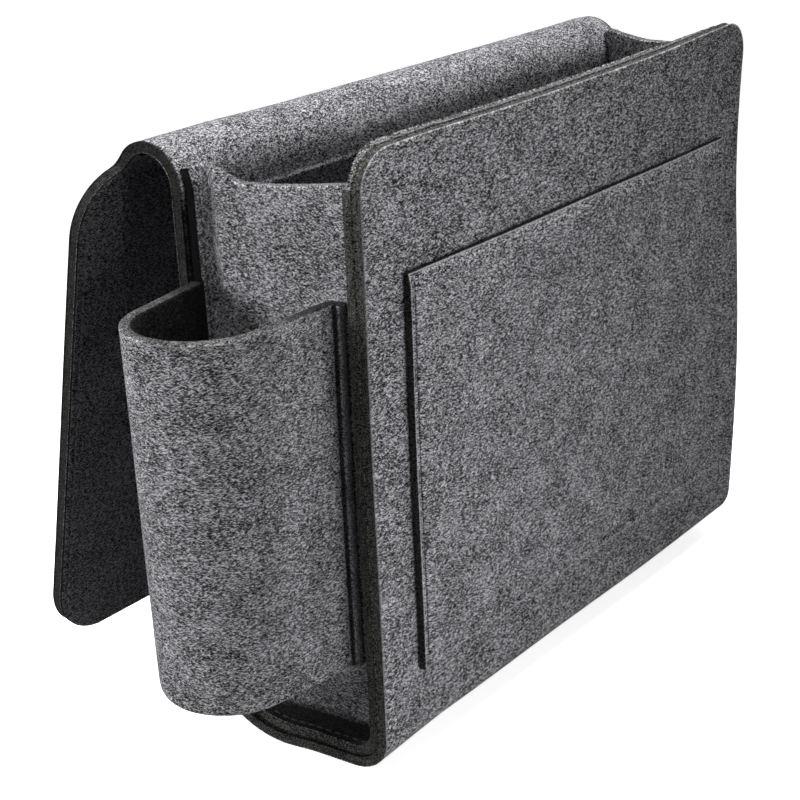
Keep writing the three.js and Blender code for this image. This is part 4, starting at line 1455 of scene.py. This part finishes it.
# Lamps: place, target, width, power, and the width of the beam in degrees
LAMPS = {
    "front": ((-0.1, -0.6, 0.15), (-0.2, -0.04, 0.13), 0.25, 0.3, 80),
    "right": ((0.6, -0.9, 0.3), (-0.2, -0.04, 0.13), 0.25, 0.12, 30),
    "left": ((-0.65, 0.3, 0.35), (-0.15, 0, 0.15), 0.25, 3.3, 180),
    "top": ((-0.1, 0.0, 1.4), (-0.05, 0.05, 0.2), 0.6, 3.8, 60),
    "back": ((0.7, 0.35, 0.12), (0.13, 0.02, 0.12), 0.3, 1.2, 70),
}


def look(turn, tilt, roll):
    """Camera axes in degrees: forward from the turn about z and the downward tilt, then a roll about it."""
    turn, tilt, roll = (math.radians(angle) for angle in (turn, tilt, roll))
    forward = Vector((math.sin(turn) * math.cos(tilt), math.cos(turn) * math.cos(tilt), -math.sin(tilt)))
    right = Vector((math.cos(turn), -math.sin(turn), 0))
    up = right.cross(forward)
    tipped = math.cos(roll) * right + math.sin(roll) * up
    raised = -math.sin(roll) * right + math.cos(roll) * up
    return Matrix((tipped, raised, -forward)).transposed().to_4x4()


def floor_finish():
    """Pale floor that shows white to the camera, more so further out, and keeps the shadow."""
    paint = colours().floor
    finish = Finish(bpy.data.materials.new("pale_floor"))
    place = finish.node("ShaderNodeTexCoord", output="Object")
    mottle = finish.mix(finish.noise(place, FLOOR_GRAIN, detail=3.0), rgba(paint, FLOOR_MOTTLE), rgba(paint))
    seen = finish.seen()
    away = finish.node("ShaderNodeVectorMath", {"operation": "LENGTH"}, {0: place}, output="Value")
    matt = finish.node("ShaderNodeBsdfPrincipled", inputs={
        "Base Color": finish.mix(seen, rgba(paint, FLOOR_UNSEEN), mottle), "Roughness": 0.9,
        "Specular IOR Level": 0.1})
    glow = finish.node("ShaderNodeEmission", inputs={"Color": seen * finish.range(away, *FLOOR_GLOW)})
    return finish.surface(finish.node("ShaderNodeAddShader", inputs={0: matt, 1: glow}))


def studio_world():
    """White to the camera, and a faint even light on the object."""
    finish = Finish(bpy.data.worlds.new("studio"))
    sky = {"Color": WHITE, "Strength": finish.seen(SKY_LIGHT)}
    return finish.surface(finish.node("ShaderNodeBackground", inputs=sky))


def lamp(name, place, target, width, power, beam):
    """A soft square lamp that faces a target, with the width of its beam in degrees."""
    light = bpy.data.lights.new(name, "AREA")
    light.size = width
    light.energy = power
    light.spread = math.radians(beam)
    made = bpy.data.objects.new(name, light)
    made.location = place
    made.rotation_euler = (Vector(target) - Vector(place)).to_track_quat("-Z", "Y").to_euler()
    bpy.context.scene.collection.objects.link(made)


class CADDY_OT_stage(bpy.types.Operator):
    """Make the floor, the lamps, the world and the camera"""

    bl_idname = "caddy.stage"
    bl_label = "Stage"

    def execute(self, context):
        scene = context.scene
        side = np.linspace(-FLOOR_HALF, FLOOR_HALF, FLOOR_POINTS)
        x, y = np.meshgrid(side, side)
        grid = np.stack([x, y, np.full(x.shape, FLOOR_LEVEL)], -1).reshape(-1, 3)
        mesh = bpy.data.meshes.new("floor")
        mesh.from_pydata(grid.tolist(), [], quads(np.arange(x.size).reshape(x.shape)).tolist())
        mesh.materials.append(floor_finish())
        floor = bpy.data.objects.new("floor", mesh)
        scene.collection.objects.link(floor)
        for name, settings in LAMPS.items():
            lamp(name, *settings)
        scene.world = studio_world()

        camera = bpy.data.cameras.new("camera")
        camera.lens = CAMERA_LENS
        camera.sensor_width = CAMERA_SENSOR
        camera.clip_start = CAMERA_NEAR
        made = bpy.data.objects.new("camera", camera)
        made.matrix_world = Matrix.Translation(CAMERA_AT) @ look(CAMERA_TURN, CAMERA_TILT, CAMERA_ROLL)
        scene.collection.objects.link(made)
        scene.camera = made
        scene.view_settings.view_transform = "Standard"
        return {"FINISHED"}


STEPS = ("stage", "wrap", "linings", "gussets", "front_pocket", "bottle_pocket", "flap_facing", "seams")


class VIEW3D_PT_caddy(bpy.types.Panel):
    """Lists the caddy's sizes, colours and pieces"""

    bl_idname = "VIEW3D_PT_caddy"
    bl_label = "Felt Bedside Caddy"
    bl_space_type = "VIEW_3D"
    bl_region_type = "UI"
    bl_category = "Caddy"

    def draw(self, context):
        for step in STEPS:
            self.layout.operator(f"caddy.{step}")
        for group in (context.scene.caddy_sizes, context.scene.caddy_colours):
            box = self.layout.box()
            for name in group.__annotations__:
                box.prop(group, name)


CLASSES = (
    CaddySizes, CaddyColours, CADDY_OT_stage, CADDY_OT_wrap, CADDY_OT_linings, CADDY_OT_gussets,
    CADDY_OT_front_pocket, CADDY_OT_bottle_pocket, CADDY_OT_flap_facing, CADDY_OT_seams, VIEW3D_PT_caddy,
)


def register():
    for cls in CLASSES:
        bpy.utils.register_class(cls)
    bpy.types.Scene.caddy_sizes = bpy.props.PointerProperty(type=CaddySizes)
    bpy.types.Scene.caddy_colours = bpy.props.PointerProperty(type=CaddyColours)


def unregister():
    del bpy.types.Scene.caddy_colours
    del bpy.types.Scene.caddy_sizes
    for cls in reversed(CLASSES):
        bpy.utils.unregister_class(cls)


def main():
    register()
    for step in STEPS:
        getattr(bpy.ops.caddy, step)()


if __name__ == "__main__":
    main()
